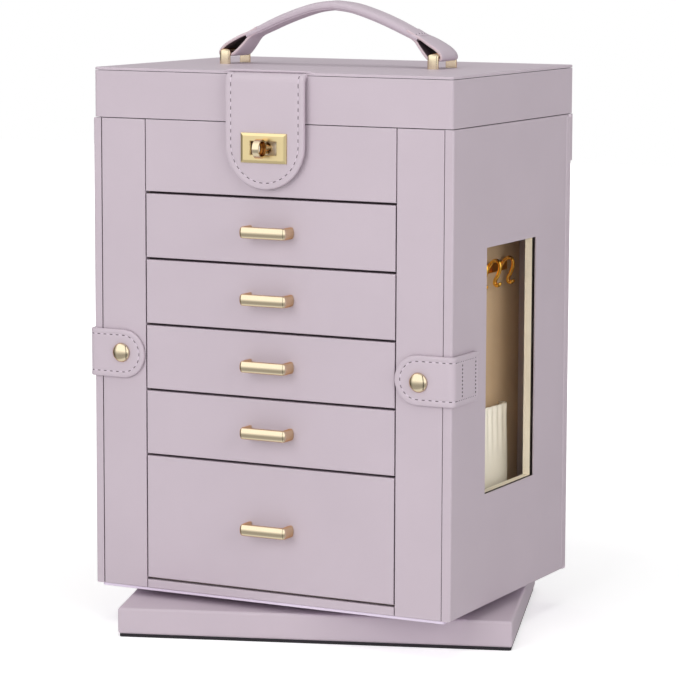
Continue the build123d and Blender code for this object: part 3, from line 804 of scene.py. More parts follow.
@dataclass(frozen=True)
class Tongue:
    """A flat leather tongue with a half-round tip: its outline, its thickness and its rim."""

    length: float
    half: float
    thick: float
    stitch_inset: float
    end_corner: float = 0.0
    open_end: bool = False
    rim: float = 0.12
    groove: float = 0.32
    step: float = 1.1

    def outline(self, inset: float) -> list[Flat]:
        """The edge moved inwards, as (along, across) points from one end round the tip to the other.

        Args:
            inset: How far inside the edge.

        Returns:
            A closed ring, or a U where the end is open.
        """
        half = max(self.half - inset, 0.0)
        corner = min(max(self.end_corner - inset, 0.0), half)
        end = self.length if self.open_end else max(self.length - inset, self.half)
        runs = round((self.length - self.half) / self.step)
        turns = round(math.pi * self.half / self.step)
        side = [(end - corner + (self.half - end + corner) * i / runs, -half) for i in range(runs)]
        tip = [
            (self.half - half * math.sin(math.pi * i / turns), -half * math.cos(math.pi * i / turns))
            for i in range(turns)
        ]
        back = [(self.half + (end - corner - self.half) * i / runs, half) for i in range(runs + 1)]
        ring = side + tip + back
        if self.open_end:
            return ring
        quarter = [math.pi / 2 * i / 4 for i in range(1, 5)]
        spread = half - corner
        ring += [(end - corner + corner * math.sin(a), spread + corner * math.cos(a)) for a in quarter]
        across = round(2 * self.half / self.step)
        ring += [(end, spread - 2 * spread * i / across) for i in range(1, across + 1)]
        ring += [(end - corner + corner * math.cos(a), -spread - corner * math.sin(a)) for a in quarter[:-1]]
        return ring

    def relief(self) -> list[Flat]:
        """The skin's (inset, height) points: underside, edge, rim, stitch groove and middle."""
        thick, line = self.thick, self.stitch_inset
        middle = [line + 1.2 + i * (self.half - line - 1.2) / 9 for i in range(10)]
        under = [(inset, 0.0) for inset in reversed(middle)] + [(line, 0.0), (0.4, 0.0), (0.1, 0.12)]
        edge = [(0.0, 0.4), (0.0, thick * 0.62), (0.1, thick * 0.82), (0.35, thick - 0.1), (0.8, thick)]
        rim = [(1.4, thick + self.rim), (line * 0.62, thick + self.rim), (line - 0.7, thick)]
        dip = [(line - 0.3, thick - self.groove * 0.7), (line, thick - self.groove)]
        rise = [(line + 0.35, thick - self.groove * 0.7), (line + 0.8, thick - 0.06)]
        return under + edge + rim + dip + rise + [(inset, thick) for inset in middle]

    def skin(self, draft: Draft, place: Place) -> None:
        """Adds the tongue's closed skin.

        Args:
            draft: Takes the faces.
            place: Puts (along, across, height) in the model.
        """
        rows = [[place(s, t, height) for s, t in self.outline(inset)] for inset, height in self.relief()]
        draft.rows(rows, ring=not self.open_end, caps=False)
        if self.open_end:
            width = len(rows[0])
            start = len(draft.points) - width * len(rows)
            loop = [start + r * width for r in range(len(rows))]
            loop += [start + r * width + width - 1 for r in reversed(range(len(rows)))]
            draft.face(loop, 0)


@dataclass(frozen=True)
class Stitching:
    """A sewn line: how long a stitch is, how thick the thread and how big the needle holes."""

    pitch: float = 5.4
    thread: float = 3.5
    radius: float = 0.45
    hole_length: float = 1.9
    hole_width: float = 1.2

    def sew(self, draft: Draft, line: Sequence[Flat], place: Place, level: float) -> None:
        """Adds threads in ink 1 and, in ink 2, flat dark ovals that paint the shade of the needle holes,
        along a line.

        Args:
            draft: Takes the faces.
            line: The sewn line's points.
            place: Puts (along, across, height) in the model.
            level: The height of the leather where it is sewn.
        """
        spots = list(self._evenly(line))
        for (here, way), (there, _) in zip(spots, spots[1:]):
            # Needle hole: a flat dark oval, painted shade in place of a real hole.
            self._pill(draft, here, way, place, level + 0.02, (self.hole_length, self.hole_width, 0.06), 2)
            middle = (here + there) / 2
            if (there - here).length > self.pitch * 1.4:
                continue
            along = (there - here).normalized()
            self._pill(draft, middle, along, place, level, (self.thread, 2 * self.radius, self.radius), 1)
        last, way = spots[-1]
        # The last needle hole, also a painted-shade oval.
        self._pill(draft, last, way, place, level + 0.02, (self.hole_length, self.hole_width, 0.06), 2)

    def _evenly(self, line: Sequence[Flat]) -> Iterator[tuple[Vector, Vector]]:
        """Places at one pitch along a line, with its direction there."""
        points = [Vector(point) for point in line]
        lengths = [(b - a).length for a, b in zip(points, points[1:])]
        total = sum(lengths)
        count = max(round(total / self.pitch), 1)
        targets = [total * i / count for i in range(count + 1)]
        walked = 0.0
        for a, b, length in zip(points, points[1:], lengths):
            while targets and targets[0] <= walked + length + 1e-6:
                share = (targets.pop(0) - walked) / length if length else 0.0
                yield a.lerp(b, share), (b - a).normalized()
            walked += length

    @staticmethod
    def _pill(
        draft: Draft,
        middle: Vector,
        way: Vector,
        place: Place,
        level: float,
        size: tuple[float, float, float],
        ink: int,
    ) -> None:
        """Adds a rounded grain: size is its length, its width and its height above the leather."""
        length, width, height = size
        across = Vector((-way.y, way.x))
        rows = []
        for share in (-0.5, -0.42, -0.25, 0.0, 0.25, 0.42, 0.5):
            swell = math.sqrt(max(1 - (2 * share) ** 2, 0.0)) ** 0.7 + 0.02
            ring = []
            for turn in range(8):
                angle = 2 * math.pi * turn / 8
                spot = middle + way * (length * share) + across * (width / 2 * swell * math.cos(angle))
                ring.append(place(spot.x, spot.y, level + height * swell * math.sin(angle)))
            rows.append(ring)
        draft.rows(rows, ink=ink)


def dress(node: str, finish: Finish) -> bpy.types.Object:
    """Gives a CAD node its finish.

    Args:
        node: The node's name.
        finish: The finish of all its surfaces.

    Returns:
        The node's object.
    """
    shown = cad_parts[node]
    material = finish.material()
    for place in shown.material_slots:
        place.material = material
    if not shown.material_slots:
        shown.data.materials.append(material)
    return shown


@dataclass(frozen=True)
class Lamp:
    """One soft square lamp: its name, its place, the point that it faces, its size and its power in watts."""

    name: str
    place: tuple[float, float, float]
    aim: tuple[float, float, float]
    size: float
    power: float

    def hang(self) -> None:
        """Makes the lamp."""
        data = bpy.data.lights.new(self.name, "AREA")
        data.energy = self.power
        data.size = self.size * MM
        lamp = bpy.data.objects.new(self.name, data)
        lamp.location = Vector(self.place) * MM
        lamp.rotation_euler = (Vector(self.aim) - Vector(self.place)).to_track_quat("-Z", "Y").to_euler()
        lamp.visible_glossy = False
        bpy.context.scene.collection.objects.link(lamp)


@dataclass
class Studio:
    """The plain pale floor, the soft lamps, the white surroundings and the camera."""

    camera_place: tuple[float, float, float] = (990.74, -1942.96, 500.68)
    yaw: float = 0.46996
    pitch: float = 0.13516
    roll: float = 0.0033
    focal_pixels: float = 3032.69
    picture_width: int = 679
    sensor_width: float = 36.0
    floor_half: float = 4000.0
    world_level: float = 0.38
    box_level: float = 1.5
    rear_level: float = 0.35
    clip_end: float = 100.0
    lamps: tuple[Lamp, ...] = (
        Lamp("key", (-450, -2700, 1250), (0, 0, 200), 1800, 29.5),
        Lamp("fill", (1900, -900, 900), (0, 0, 200), 1400, 12.0),
        Lamp("top", (0, -300, 2400), (0, 0, 200), 1600, 13.0),
        Lamp("window_left", (-800, -760, 420), (-118, 10, 180), 500, 5.5),
        Lamp("window_right", (800, -760, 420), (118, 10, 180), 500, 5.5),
    )

    def set_camera(self) -> None:
        """Puts the camera where the photograph was taken from."""
        data = bpy.data.cameras.new("camera")
        data.sensor_width = self.sensor_width
        data.lens = self.focal_pixels * self.sensor_width / self.picture_width
        data.clip_end = self.clip_end
        camera = bpy.data.objects.new("camera", data)
        camera.location = Vector(self.camera_place) * MM
        turn = Matrix.Rotation(self.yaw, 3, "Z") @ Matrix.Rotation(math.pi / 2 - self.pitch, 3, "X")
        camera.rotation_euler = (turn @ Matrix.Rotation(self.roll, 3, "Z")).to_euler()
        bpy.context.scene.collection.objects.link(camera)
        bpy.context.scene.camera = camera

    def set_world(self) -> None:
        """White where it is seen directly, soft grey where it lights, soft boxes and gaps in gloss."""
        world = bpy.data.worlds.new("studio")
        world.use_nodes = True
        recipe = Recipe(world.node_tree)
        direct = recipe.node("ShaderNodeMath", {"operation": "MAXIMUM"}, {
            0: recipe.ray("Is Camera Ray"), 1: recipe.ray("Is Transmission Ray")})
        level = recipe.level(recipe.ray("Is Glossy Ray"), self.world_level, self.soft_boxes(recipe))
        level = recipe.level(direct, level, 1.0)
        sky = recipe.node("ShaderNodeBackground", {}, {"Color": (1, 1, 1, 1), "Strength": level})
        end = world.node_tree.nodes.new("ShaderNodeOutputWorld")
        world.node_tree.links.new(sky.socket, end.inputs["Surface"])
        bpy.context.scene.world = world

    def soft_boxes(self, recipe: Recipe) -> Link:
        """What polished metal reflects: a bright room, a dark band under the horizon and dark gaps.

        Args:
            recipe: The world's node tree.

        Returns:
            The brightness in each direction.
        """
        direction = recipe.node("ShaderNodeTexCoord", output="Generated")
        x, y, z = (recipe.node("ShaderNodeSeparateXYZ", {}, {0: direction}, axis) for axis in "XYZ")
        height = recipe.ramp(
            z * 0.5 + 0.5, (0.0, 0.6), (0.14, 0.62), (0.20, 0.34), (0.35, 0.3), (0.41, 0.42), (0.46, 0.66),
            (0.52, 1.0), (0.9, 1.0), (0.97, 0.55),
        )
        behind = recipe.ramp(y, (0.0, 0.0), (0.2, 1.0))
        gap = recipe.node("ShaderNodeMath", {"operation": "MAXIMUM"}, {
            0: recipe.ramp(x, (0.22, 1.0), (0.3, 0.15), (0.42, 0.15), (0.5, 1.0)), 1: behind})
        left = recipe.ramp(x * 0.5 + 0.5, (0.03, 0.15), (0.13, 1.0))
        rear = recipe.ramp(y, (0.1, 1.0), (0.45, self.rear_level))
        return height * gap * left * rear * self.box_level

    def set_floor(self) -> None:
        """A pale floor that keeps the box's shadow."""
        draft = Draft()
        half = self.floor_half
        draft.rows([[Vector((x, y, 0.0)) for x in (-half, half)] for y in (-half, half)], False)
        floor = draft.piece("floor", [VELVET])
        floor.data.materials.clear()
        paper = bpy.data.materials.new("floor_paper")
        paper.use_nodes = True
        recipe = Recipe(paper.node_tree)
        matt = recipe.node("ShaderNodeBsdfDiffuse", {}, {"Color": (0.92, 0.92, 0.92, 1)})
        away = recipe.node("ShaderNodeVectorMath", {"operation": "LENGTH"}, {0: recipe.place()}, "Value")
        strength = recipe.ramp(away * 0.5, (0.15, 0.42), (0.7, 1.0))
        glow = recipe.node("ShaderNodeEmission", {}, {"Color": (1, 1, 1, 1), "Strength": strength})
        both = recipe.node("ShaderNodeAddShader", {}, {0: matt, 1: glow})
        direct = recipe.ray("Is Camera Ray")
        recipe.node_end(recipe.node("ShaderNodeMixShader", {}, {0: direct, 1: matt, 2: both}))
        floor.data.materials.append(paper)
        floor.visible_glossy = False

    @staticmethod
    def light_compartments() -> None:
        """Keeps the two window lamps on what is behind the windows."""
        inside = bpy.data.collections.new("behind_windows")
        pieces = ["side_partitions", "cabinet_back"]
        for side in Side:
            name = side.name.lower()
            pieces += [f"door_lining_{name}", f"hook_rail_{name}", f"gathered_pocket_{name}"]
        for piece in pieces:
            inside.objects.link(bpy.data.objects[piece])
        for side in Side:
            lamp = bpy.data.objects[f"window_{side.name.lower()}"]
            lamp.light_linking.receiver_collection = inside

    def build(self) -> None:
        """Sets the whole studio."""
        bpy.context.scene.view_settings.view_transform = "Standard"
        self.set_camera()
        self.set_world()
        self.set_floor()
        for lamp in self.lamps:
            lamp.hang()
        log.info("studio: camera, floor, %d lamps and the white surroundings", len(self.lamps))


@dataclass
class Base:
    """Foot pad, turned plinth and the bearing between plinth and cabinet."""

    steel_nodes: tuple[str, ...] = (
        "turntable_lower_plate", "turntable_upper_plate", "turntable_balls",
        "turntable_base_screws", "turntable_cabinet_screws",
    )

    def build(self) -> None:
        """Dresses the pieces below the cabinet."""
        dress("base_foot_pad", FELT)
        dress("base_plinth", LEATHER)
        for node in self.steel_nodes:
            dress(node, STEEL)
        dress("bottom_plate", ENAMEL)
        log.info("base: foot pad, plinth, bearing and bottom plate")


@dataclass
class Cabinet:
    """The wrapped boards, the shelves, the drawers and their pulls."""

    drawers: int = 5
    inside: tuple[tuple[str, Finish], ...] = (
        # The compartment floor and partitions take the velvet copy that is painted darker as painted shade.
        ("cabinet_floor", SHADED_CREAM_VELVET), ("side_partitions", SHADED_CREAM_VELVET),
        # The shelves are near-black as painted shade for the drawer gaps.
        ("drawer_shelves", GAP_SHADE_BOARD), ("top_tray_liner", VELVET),
    )
    pull: Staple = Staple(half_span=18.25, reach=14.0, corner=2.9, width=8.0, thick=3.3, bulge=1.7)

    def build(self) -> None:
        """Dresses the boards and drawers."""
        for node in ("cabinet_back", "front_frame", "lid_hinge_flap"):
            dress(node, LEATHER)
        for node, finish in self.inside:
            dress(node, finish)
        for number in range(1, self.drawers + 1):
            dress(f"drawer_{number}_front", LEATHER)
            dress(f"drawer_{number}_tray", VELVET)
            self.build_pull(number)
        log.info("cabinet: boards, shelves and %d drawers", self.drawers)

    def build_pull(self, number: int) -> None:
        """Makes one drawer's pull: a bar with a bulged face and both ends turned back."""
        low, high = node_box(f"drawer_{number}_pull")
        centre = (low + high) / 2
        draft = Draft()
        self.pull.skin(
            draft, lambda along, out, across: Vector((centre.x + along, high.y - out, centre.z + across))
        )
        pull = draft.piece(f"bar_pull_{number}", [POLISHED], sharp=40)
        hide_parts(f"drawer_{number}_pull")
        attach(pull, f"drawer_{number}")


@dataclass
class DoorStrap:
    """A stitched strap from the door's side round the corner to the stile, with its snap cap."""

    side: Side
    face: float = 104.75
    outer: float = 143.75
    corner: float = 4.5
    thick: float = 2.4
    wall_gap: float = 0.35
    stitching: Stitching = Stitching(5.2, 3.0, 0.42, 2.6, 1.9)
    fine: Stitching = Stitching(2.7, 1.3, 0.35, 1.5, 1.5)
    rear_inset: float = 5.2
    cap_radius: float = 6.8
    cap_height: float = 3.2

    def __post_init__(self) -> None:
        """Works out the strap's line and its outline."""
        name = self.side.name.lower()
        low, high = node_box(f"door_strap_{name}")
        cap_low, cap_high = node_box(f"snap_cap_{name}")
        tab_low, tab_high = node_box(f"door_strap_tab_{name}")
        self.tip = min(abs(low.x), abs(high.x))
        self.half = (high.z - low.z) / 2
        self.level = (low.z + high.z) / 2
        self.fold = (high.y + tab_low.y) / 2
        self.rear = tab_high.y
        self.snap = ((cap_low.x + cap_high.x) / 2, (cap_low.z + cap_high.z) / 2)
        first = self.outer - self.corner - self.tip
        self.bend = Bend((self.tip, -self.face), (1, 0), (0, -1), first, self.corner)
        corner_end = first + self.corner * math.pi / 2
        self.side_start = corner_end
        length = corner_end + self.rear + self.face - self.corner
        self.tongue = Tongue(length, self.half, self.thick, 4.0, end_corner=2.4)

    def along_at(self, y: float) -> float:
        """Distance from the tip of a point on the door's side."""
        return self.side_start + y + self.face - self.corner

    def place(self, along: float, across: float, height: float) -> Vector:
        """Puts a point of the flat strap on the box.

        Args:
            along: Distance from the tip.
            across: Distance from the middle line, upwards.
            height: Height over the strap's underside.

        Returns:
            The point in the model.
        """
        spot, facing = self.bend.at(along)
        seat = eased((along - self.along_at(self.fold)) / 3 + 0.5)
        depth = self.thick - height
        if height < 0.5:
            depth += seat * (self.wall_gap - 0.05)
        reach = math.hypot(self.tip + along - abs(self.snap[0]), self.level + across - self.snap[1])
        pressed = 0.35 * math.exp(-((max(reach - self.cap_radius, 0.0) / 2.2) ** 2))
        spot = spot - facing * (depth + (pressed if height > 0.5 else 0.0))
        return Vector((self.side.value * spot.x, spot.y, self.level + across))

    def sewn_lines(self) -> Iterator[tuple[Stitching, float, list[Flat]]]:
        """The line round the tip, then the finer ones on the side: both edges, the rear and the fold."""
        groove = self.thick - self.tongue.groove
        inset = self.tongue.stitch_inset
        half = self.half - inset
        end = self.along_at(self.rear - self.rear_inset)
        start = self.side_start
        outline = self.tongue.outline(inset)
        ring = [spot for spot in outline if spot[0] < start and abs(spot[1]) <= half + 0.01]
        yield self.stitching, groove, ring
        for edge in (-half, half):
            yield self.fine, groove, [(start + self.fine.pitch, edge), (end, edge)]
        for across in (end, self.along_at(self.fold + 0.7)):
            yield self.fine, self.thick, [(across, -half + self.fine.pitch), (across, half - self.fine.pitch)]

    def build(self) -> None:
        """Makes the strap with its stitches, and the snap cap."""
        name = self.side.name.lower()
        draft = Draft()
        self.tongue.skin(draft, self.place)
        for stitching, level, line in self.sewn_lines():
            stitching.sew(draft, line, self.place, level)
        strap = draft.piece(f"stitched_strap_{name}", [TRIM, THREAD, NEEDLE_HOLE_SHADE])
        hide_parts(f"door_strap_{name}", f"door_strap_tab_{name}")
        x = self.side.value * self.outer * MM
        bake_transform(strap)
        self.build_cap(name)
        log.info("%s strap: leather, two sewn lines and snap cap", name)

    def build_cap(self, name: str) -> None:
        """Turns the brass cap: a short straight rim and a polished dome."""
        radius, height = self.cap_radius, self.cap_height
        x, z = self.snap
        seat = -self.face
        rim, dome = 0.6, radius - 0.15
        profile = [(0.0, -0.3), (radius - 0.6, -0.3), (radius - 0.12, -0.1), (radius, 0.25)]
        for step in range(17):
            turn = math.pi / 2 * step / 16
            profile.append((dome * math.cos(turn), rim + (height - rim) * math.sin(turn)))
        draft = Draft()
        draft.rows(
            lathe(profile, lambda a, b, h: Vector((x + a, seat - h, z + b))), caps=False
        )
        cap = draft.piece(f"snap_dome_{name}", [POLISHED], sharp=35)
        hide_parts(f"snap_cap_{name}")
        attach(cap, f"strap_{name}")


@dataclass(frozen=True)
class FoldSkin:
    """Thin leather over a hinge: thin at its rims, with a crease along the fold."""

    half: float
    steps: int
    thick: float
    rim_power: int
    crease: float
    crease_width: float
    least: float
    lift: float
    sink: float
    thinned: float = 0.4

    def section(self, at_end: bool) -> Iterator[tuple[float, float]]:
        """The section as (across the fold, height over the face) points: the outer side, then back inside.

        Args:
            at_end: Whether this is the leather's end, where it thins out.
        """
        share_left = self.thinned if at_end else 1.0
        shares = [2 * step / self.steps - 1 for step in range(self.steps + 1)]
        for share in shares:
            crease = self.crease * math.exp(-((share * self.half / self.crease_width) ** 2))
            body = max((1 - share ** self.rim_power) * self.thick - crease, self.least)
            yield share * self.half, self.lift + body * share_left
        for share in reversed(shares):
            yield share * self.half, self.sink


@dataclass
class Door:
    """One side door: its wrapped board, pane, lining and the leather hinge at its back edge."""

    side: Side
    face: float = 141.0
    hinge_y: float = 96.2
    skin: FoldSkin = FoldSkin(4.0, 24, 0.7, 4, 0.35, 0.5, least=0.04, lift=0.05, sink=0.03)
    low: float = 30.0
    high: float = 362.4
    end_run: float = 0.6

    def build(self) -> None:
        """Dresses the door and makes its hinge leather and its strap."""
        name = self.side.name.lower()
        dress(f"door_panel_{name}", LEATHER)
        dress(f"door_window_{name}", PANE)
        # The lining carries a painted shade band at its outer rim.
        dress(f"door_lining_{name}", EDGE_SHADED_VELVET)
        self.build_hinge(name)
        DoorStrap(self.side).build()

    def build_hinge(self, name: str) -> None:
        """Makes the thin leather that folds at the back edge, with a crease down its middle."""
        draft = Draft()
        middle = (self.low + self.high) / 2
        levels = (self.low, self.low + self.end_run, middle, self.high - self.end_run, self.high)
        draft.rows([
            [
                Vector((self.side.value * (self.face + height), self.hinge_y + across, level))
                for across, height in self.skin.section(level in (self.low, self.high))
            ]
            for level in levels
        ])
        leather = draft.piece(f"hinge_leather_{name}", [TRIM])
        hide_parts(f"door_hinge_leather_{name}")
        x = self.side.value * self.face * MM
        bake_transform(leather)


@dataclass
class Closure:
    """The stitched tongue with its slotted plate, and the turn lock on the fascia."""

    half: float = 30.6
    thick: float = 2.8
    face: float = 108.0
    tip_level: float = 319.2
    bend_radius: float = 5.7
    bend_level: float = 392.0
    root_y: float = -102.1
    lift: float = 1.5
    slot_half: tuple[float, float] = (13.05, 7.5)
    cut_reach: tuple[float, float] = (5.0, 6.0)
    slot_edge: float = 0.35
    knob_rim: float = 0.35
    knob_well: float = 0.9
    plate_slot: tuple[float, float] = (20.5, 9.4)
    plate_bevel: tuple[float, float] = (1.9, 0.7)
    slot_level: float = 347.7
    fold_start: tuple[float, float, float] = (0.0, -103.0, 399.0)
    fold_end: tuple[float, float, float] = (0.0, -107.5, 392.0)
    knob_eye: tuple[float, float] = (6.6, 4.3)
    knob_width: float = 5.0
    knob_post: tuple[Flat, ...] = (
        (2.3, -109.5), (2.3, -105.3), (4.0, -105.3), (4.2, -105.1), (4.2, -104.3),
        (2.4, -104.3), (2.4, -97.5),
    )
    stitching: Stitching = Stitching(5.3, 3.0, 0.45, 2.6, 1.8)

    def __post_init__(self) -> None:
        """Works out the strap's line and its outline."""
        first = self.bend_level - self.tip_level
        self.bend = Bend((-self.face, self.tip_level), (0, 1), (-1, 0), first, self.bend_radius)
        length = first + self.bend_radius * math.pi / 2 + (self.root_y + self.face - self.bend_radius)
        self.tongue = Tongue(length, self.half, self.thick, 4.3, open_end=True)

    def place(self, along: float, across: float, height: float) -> Vector:
        """Puts a point of the flat strap on the box, its root pushed up under the lid's edge."""
        spot, facing = self.bend.at(along)
        spot = spot - facing * (self.thick - height)
        rise = self.lift * eased((spot.y - self.bend_level + 4) / 8)
        return Vector((across, spot.x, spot.y + rise))

    def build(self) -> None:
        """Makes the strap, its stitches, its plate and the lock's knob."""
        draft = Draft()
        self.tongue.skin(draft, self.place)
        strap = draft.piece("closure_leather", [TRIM])
        sewing = Draft()
        line = self.tongue.outline(self.tongue.stitch_inset)
        self.stitching.sew(sewing, line, self.place, self.thick - self.tongue.groove)
        stitches = sewing.piece("closure_stitches", [TRIM, THREAD, NEEDLE_HOLE_SHADE])
        wide, tall = self.slot_half
        before, behind = self.cut_reach
        carve(strap, block(
            (-wide, -self.face - before, self.slot_level - tall),
            (wide, -self.face + behind, self.slot_level + tall),
        ))
        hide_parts("closure_strap")
        for soft in (strap, stitches):
            tuple(Vector(self.fold_start) * MM)
            tuple(Vector(self.fold_end) * MM)
            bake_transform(soft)
        self.build_tab()
        self.build_plate()
        # The lock base takes the near-white brass copy as a painted highlight.
        dress("lock_base", HIGHLIT_BRASS)
        self.build_knob()
        log.info("closure: stitched strap, plate, lock base and turn knob")

    def build_plate(self) -> None:
        """Makes the brass plate: a flat face, a wide bevel round it and a slot with soft edges."""
        low, high = node_box("closure_plate")
        middle = (low + high) / 2
        wide, tall = (high.x - low.x) / 2, (high.z - low.z) / 2
        slot = (self.plate_slot[0] / 2, self.plate_slot[1] / 2)
        steps = (
            (wide, tall, high.y), (wide, tall, low.y + self.plate_bevel[1]),
            (wide - self.plate_bevel[0], tall - self.plate_bevel[0], low.y),
            (slot[0] + self.slot_edge, slot[1] + self.slot_edge, low.y),
            (slot[0], slot[1], low.y + self.slot_edge),
            (slot[0], slot[1], high.y),
            (wide, tall, high.y),
        )
        draft = Draft()
        rows = []
        for half_x, half_z, y in steps:
            rows.append([
                Vector((middle.x + side_x * half_x, y, middle.z + side_z * half_z))
                for side_x, side_z in ((-1, -1), (1, -1), (1, 1), (-1, 1))
            ])
        draft.rows(rows, caps=False)
        plate = draft.piece("bevelled_plate", [SATIN], sharp=12)
        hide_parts("closure_plate")
        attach(plate, "closure")

    def build_knob(self) -> None:
        """Makes the turn knob: a thin-rimmed eye that stands on a post with a flange."""
        low, high = node_box("turn_knob")
        radius, hole = self.knob_eye
        half = self.knob_width / 2
        centre = low.y + radius

        def sideways(across: float, up: float, along: float) -> Vector:
            """Puts a point of the eye, whose axis lies along X, in the model."""
            return Vector((along, centre + across, self.slot_level + up))

        def inwards(across: float, up: float, along: float) -> Vector:
            """Puts a point of the post, whose axis lies along Y, in the model."""
            return Vector((across, along, self.slot_level + up))

        mouth, soft = hole + self.knob_well, self.knob_rim
        rim = [(mouth, half - 0.12), (radius - soft, half), (radius, half - soft)]
        rim += [(spot, -along) for spot, along in reversed(rim)]
        well = [(mouth, 0.12 - half), (hole + 0.15, -half / 2), (hole, 0.0)]
        well += [(spot, -along) for spot, along in reversed(well[:-1])]
        draft = Draft()
        draft.rows(lathe(rim, sideways), caps=False)
        draft.rows(lathe(well, sideways), caps=False, ink=1)
        post = [(0.0, centre + radius - 1.0)]
        post += [(spot, along) for spot, along in self.knob_post]
        post += [(0.0, high.y)]
        draft.rows(lathe(post, inwards), caps=False)
        knob = draft.piece("turn_eye", [POLISHED, SHADED], sharp=40)
        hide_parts("turn_knob")
        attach(knob, "knob")

    def build_tab(self) -> None:
        """Makes the flat end of the strap that is held under the lid's top panel."""
        low, high = node_box("closure_strap_tab")
        soft = 0.5
        draft = Draft()
        rows = []
        for grow, level in ((-soft, low.z), (0, low.z + soft), (0, high.z - soft), (-soft, high.z)):
            rows.append([
                Vector((x, y, level))
                for x, y in (
                    (low.x - grow, low.y), (high.x + grow, low.y),
                    (high.x + grow, high.y), (low.x - grow, high.y),
                )
            ])
        draft.rows(rows)
        tab = draft.piece("closure_root", [TRIM])
        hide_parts("closure_strap_tab")
        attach(tab, "lid")


@dataclass
class Lid:
    """The lid's boards, its raised leather edge over the strap, its lining, mirror and hinge."""

    top: float = 400.0
    front: float = -102.0
    lip_half: float = 30.6
    lip_run: float = 5.5
    lip_rise: float = 1.3
    lip_back: float = 14.0
    seam: float = 364.65
    hinge_face: float = 106.45
    hinge_skin: FoldSkin = FoldSkin(8.0, 28, 0.7, 6, 0.4, 0.6, least=0.05, lift=0.0, sink=-0.02)
    hinge_reach: float = 136.5
    hinge_end_run: float = 1.0
    lining_puff: float = 1.1
    lining_corner: float = 3.0
    lining_inset: float = 0.3
    mirror_gap: float = 0.2
    bracket: Staple = Staple(half_span=17.0, reach=11.1, corner=3.4, width=8.0, thick=3.0, bulge=1.3)

    def build(self) -> None:
        """Dresses the lid and makes its soft pieces."""
        dress("lid_top_panel", LEATHER)
        dress("lid_frame", LEATHER)
        dress("lid_mirror", MIRROR)
        self.build_brackets()
        self.build_lip()
        self.build_hinge()
        self.build_lining()
        log.info("lid: boards, raised edge, hinge leather, lining and mirror")

    def build_brackets(self) -> None:
        """Makes the two brass staples that hold the handle."""
        low, high = node_box("handle_brackets")
        middle = (low + high) / 2
        offset = (high.x - low.x - self.bracket.width) / 2
        draft = Draft()
        for side in Side:
            centre = middle.x + side.value * offset
            self.bracket.skin(
                draft,
                lambda along, out, across: Vector((centre + across, middle.y + along, self.top - 0.1 + out)),
            )
        brackets = draft.piece("handle_staples", [POLISHED], sharp=40)
        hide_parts("handle_brackets")
        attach(brackets, "lid")

    def build_lip(self) -> None:
        """Makes the front edge of the top's leather where it is pushed up over the closure strap."""
        draft = Draft()
        rows = []
        count = 60
        reach = self.lip_half + self.lip_run
        for step in range(count + 1):
            x = -reach + 2 * reach * step / count
            rise = self.lip_rise * eased((reach - abs(x)) / self.lip_run)
            base = self.top
            nose = self.front - 0.15 - 0.35 * rise / self.lip_rise
            section = [(self.front + self.lip_back, base - 0.3), (self.front + self.lip_back, base + 0.02)]
            for i in range(1, 9):
                y = self.front + self.lip_back * (1 - i / 9)
                section.append((y, base + 0.02 + rise * eased(i / 9)))
            crest = base + rise
            section += [
                (self.front + 0.5, crest + 0.03), (nose + 0.35, crest - 0.1), (nose + 0.08, crest - 0.4),
                (nose, crest - 0.9), (nose + 0.1, crest - 1.45), (nose + 0.4, crest - 1.75),
                (self.front + 0.3, crest - 1.8),
            ]
            rows.append([Vector((x, y, z)) for y, z in section])
        draft.rows(rows)
        lip = draft.piece("lid_edge_lip", [LEATHER])
        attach(lip, "lid")

    def build_hinge(self) -> None:
        """Makes the leather that folds where the lid meets the hinge flap."""
        draft = Draft()
        reach, inside = self.hinge_reach, self.hinge_reach - self.hinge_end_run
        draft.rows([
            [
                Vector((x, self.hinge_face + height, self.seam + across))
                for across, height in self.hinge_skin.section(abs(x) == reach)
            ]
            for x in (-reach, -inside, 0, inside, reach)
        ])
        leather = draft.piece("lid_fold_leather", [TRIM])
        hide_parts("lid_hinge_leather")
        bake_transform(leather)

    def build_lining(self) -> None:
        """Makes the padded velvet that surrounds the mirror inside the lid."""
        low, high = node_box("lid_lining")
        glass_low, glass_high = node_box("lid_mirror")
        centre = (low + high) / 2
        draft = Draft()
        rows = []
        inset, gap, puff = self.lining_inset, self.mirror_gap, self.lining_puff
        outer = ((high.x - low.x) / 2 - inset, (high.y - low.y) / 2 - inset)
        inner = ((glass_high.x - glass_low.x) / 2 + gap, (glass_high.y - glass_low.y) / 2 + gap)
        profile = [(0.0, 2.9), (0.0, 1.4), (0.015, 0.6), (0.05, 0.0)]
        profile += [(0.05 + 0.9 * i / 10, -puff * math.sin(math.pi * i / 10) ** 0.6) for i in range(1, 11)]
        profile += [(0.985, 0.4), (1.0, 1.0), (1.0, 2.2), (1.02, 2.9)]
        for share, depth in profile:
            half_x = outer[0] + (inner[0] - outer[0]) * share
            half_y = outer[1] + (inner[1] - outer[1]) * share
            rows.append([
                Vector((centre.x + x, centre.y + y, low.z + depth))
                for x, y in self._rectangle(half_x, half_y, self.lining_corner)
            ])
        draft.rows(rows + rows[:1], caps=False)
        lining = draft.piece("lid_padding", [VELVET])
        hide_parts("lid_lining")
        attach(lining, "lid")

    @staticmethod
    def _rectangle(half_x: float, half_y: float, corner: float) -> list[Flat]:
        """A rectangle's outline with round corners, evenly stepped."""
        points = []
        for sx, sy, start in ((1, 1, 0), (-1, 1, 90), (-1, -1, 180), (1, -1, 270)):
            for step in range(7):
                turn = math.radians(start + 15 * step)
                points.append((
                    sx * (half_x - corner) + corner * math.cos(turn),
                    sy * (half_y - corner) + corner * math.sin(turn),
                ))
        return points


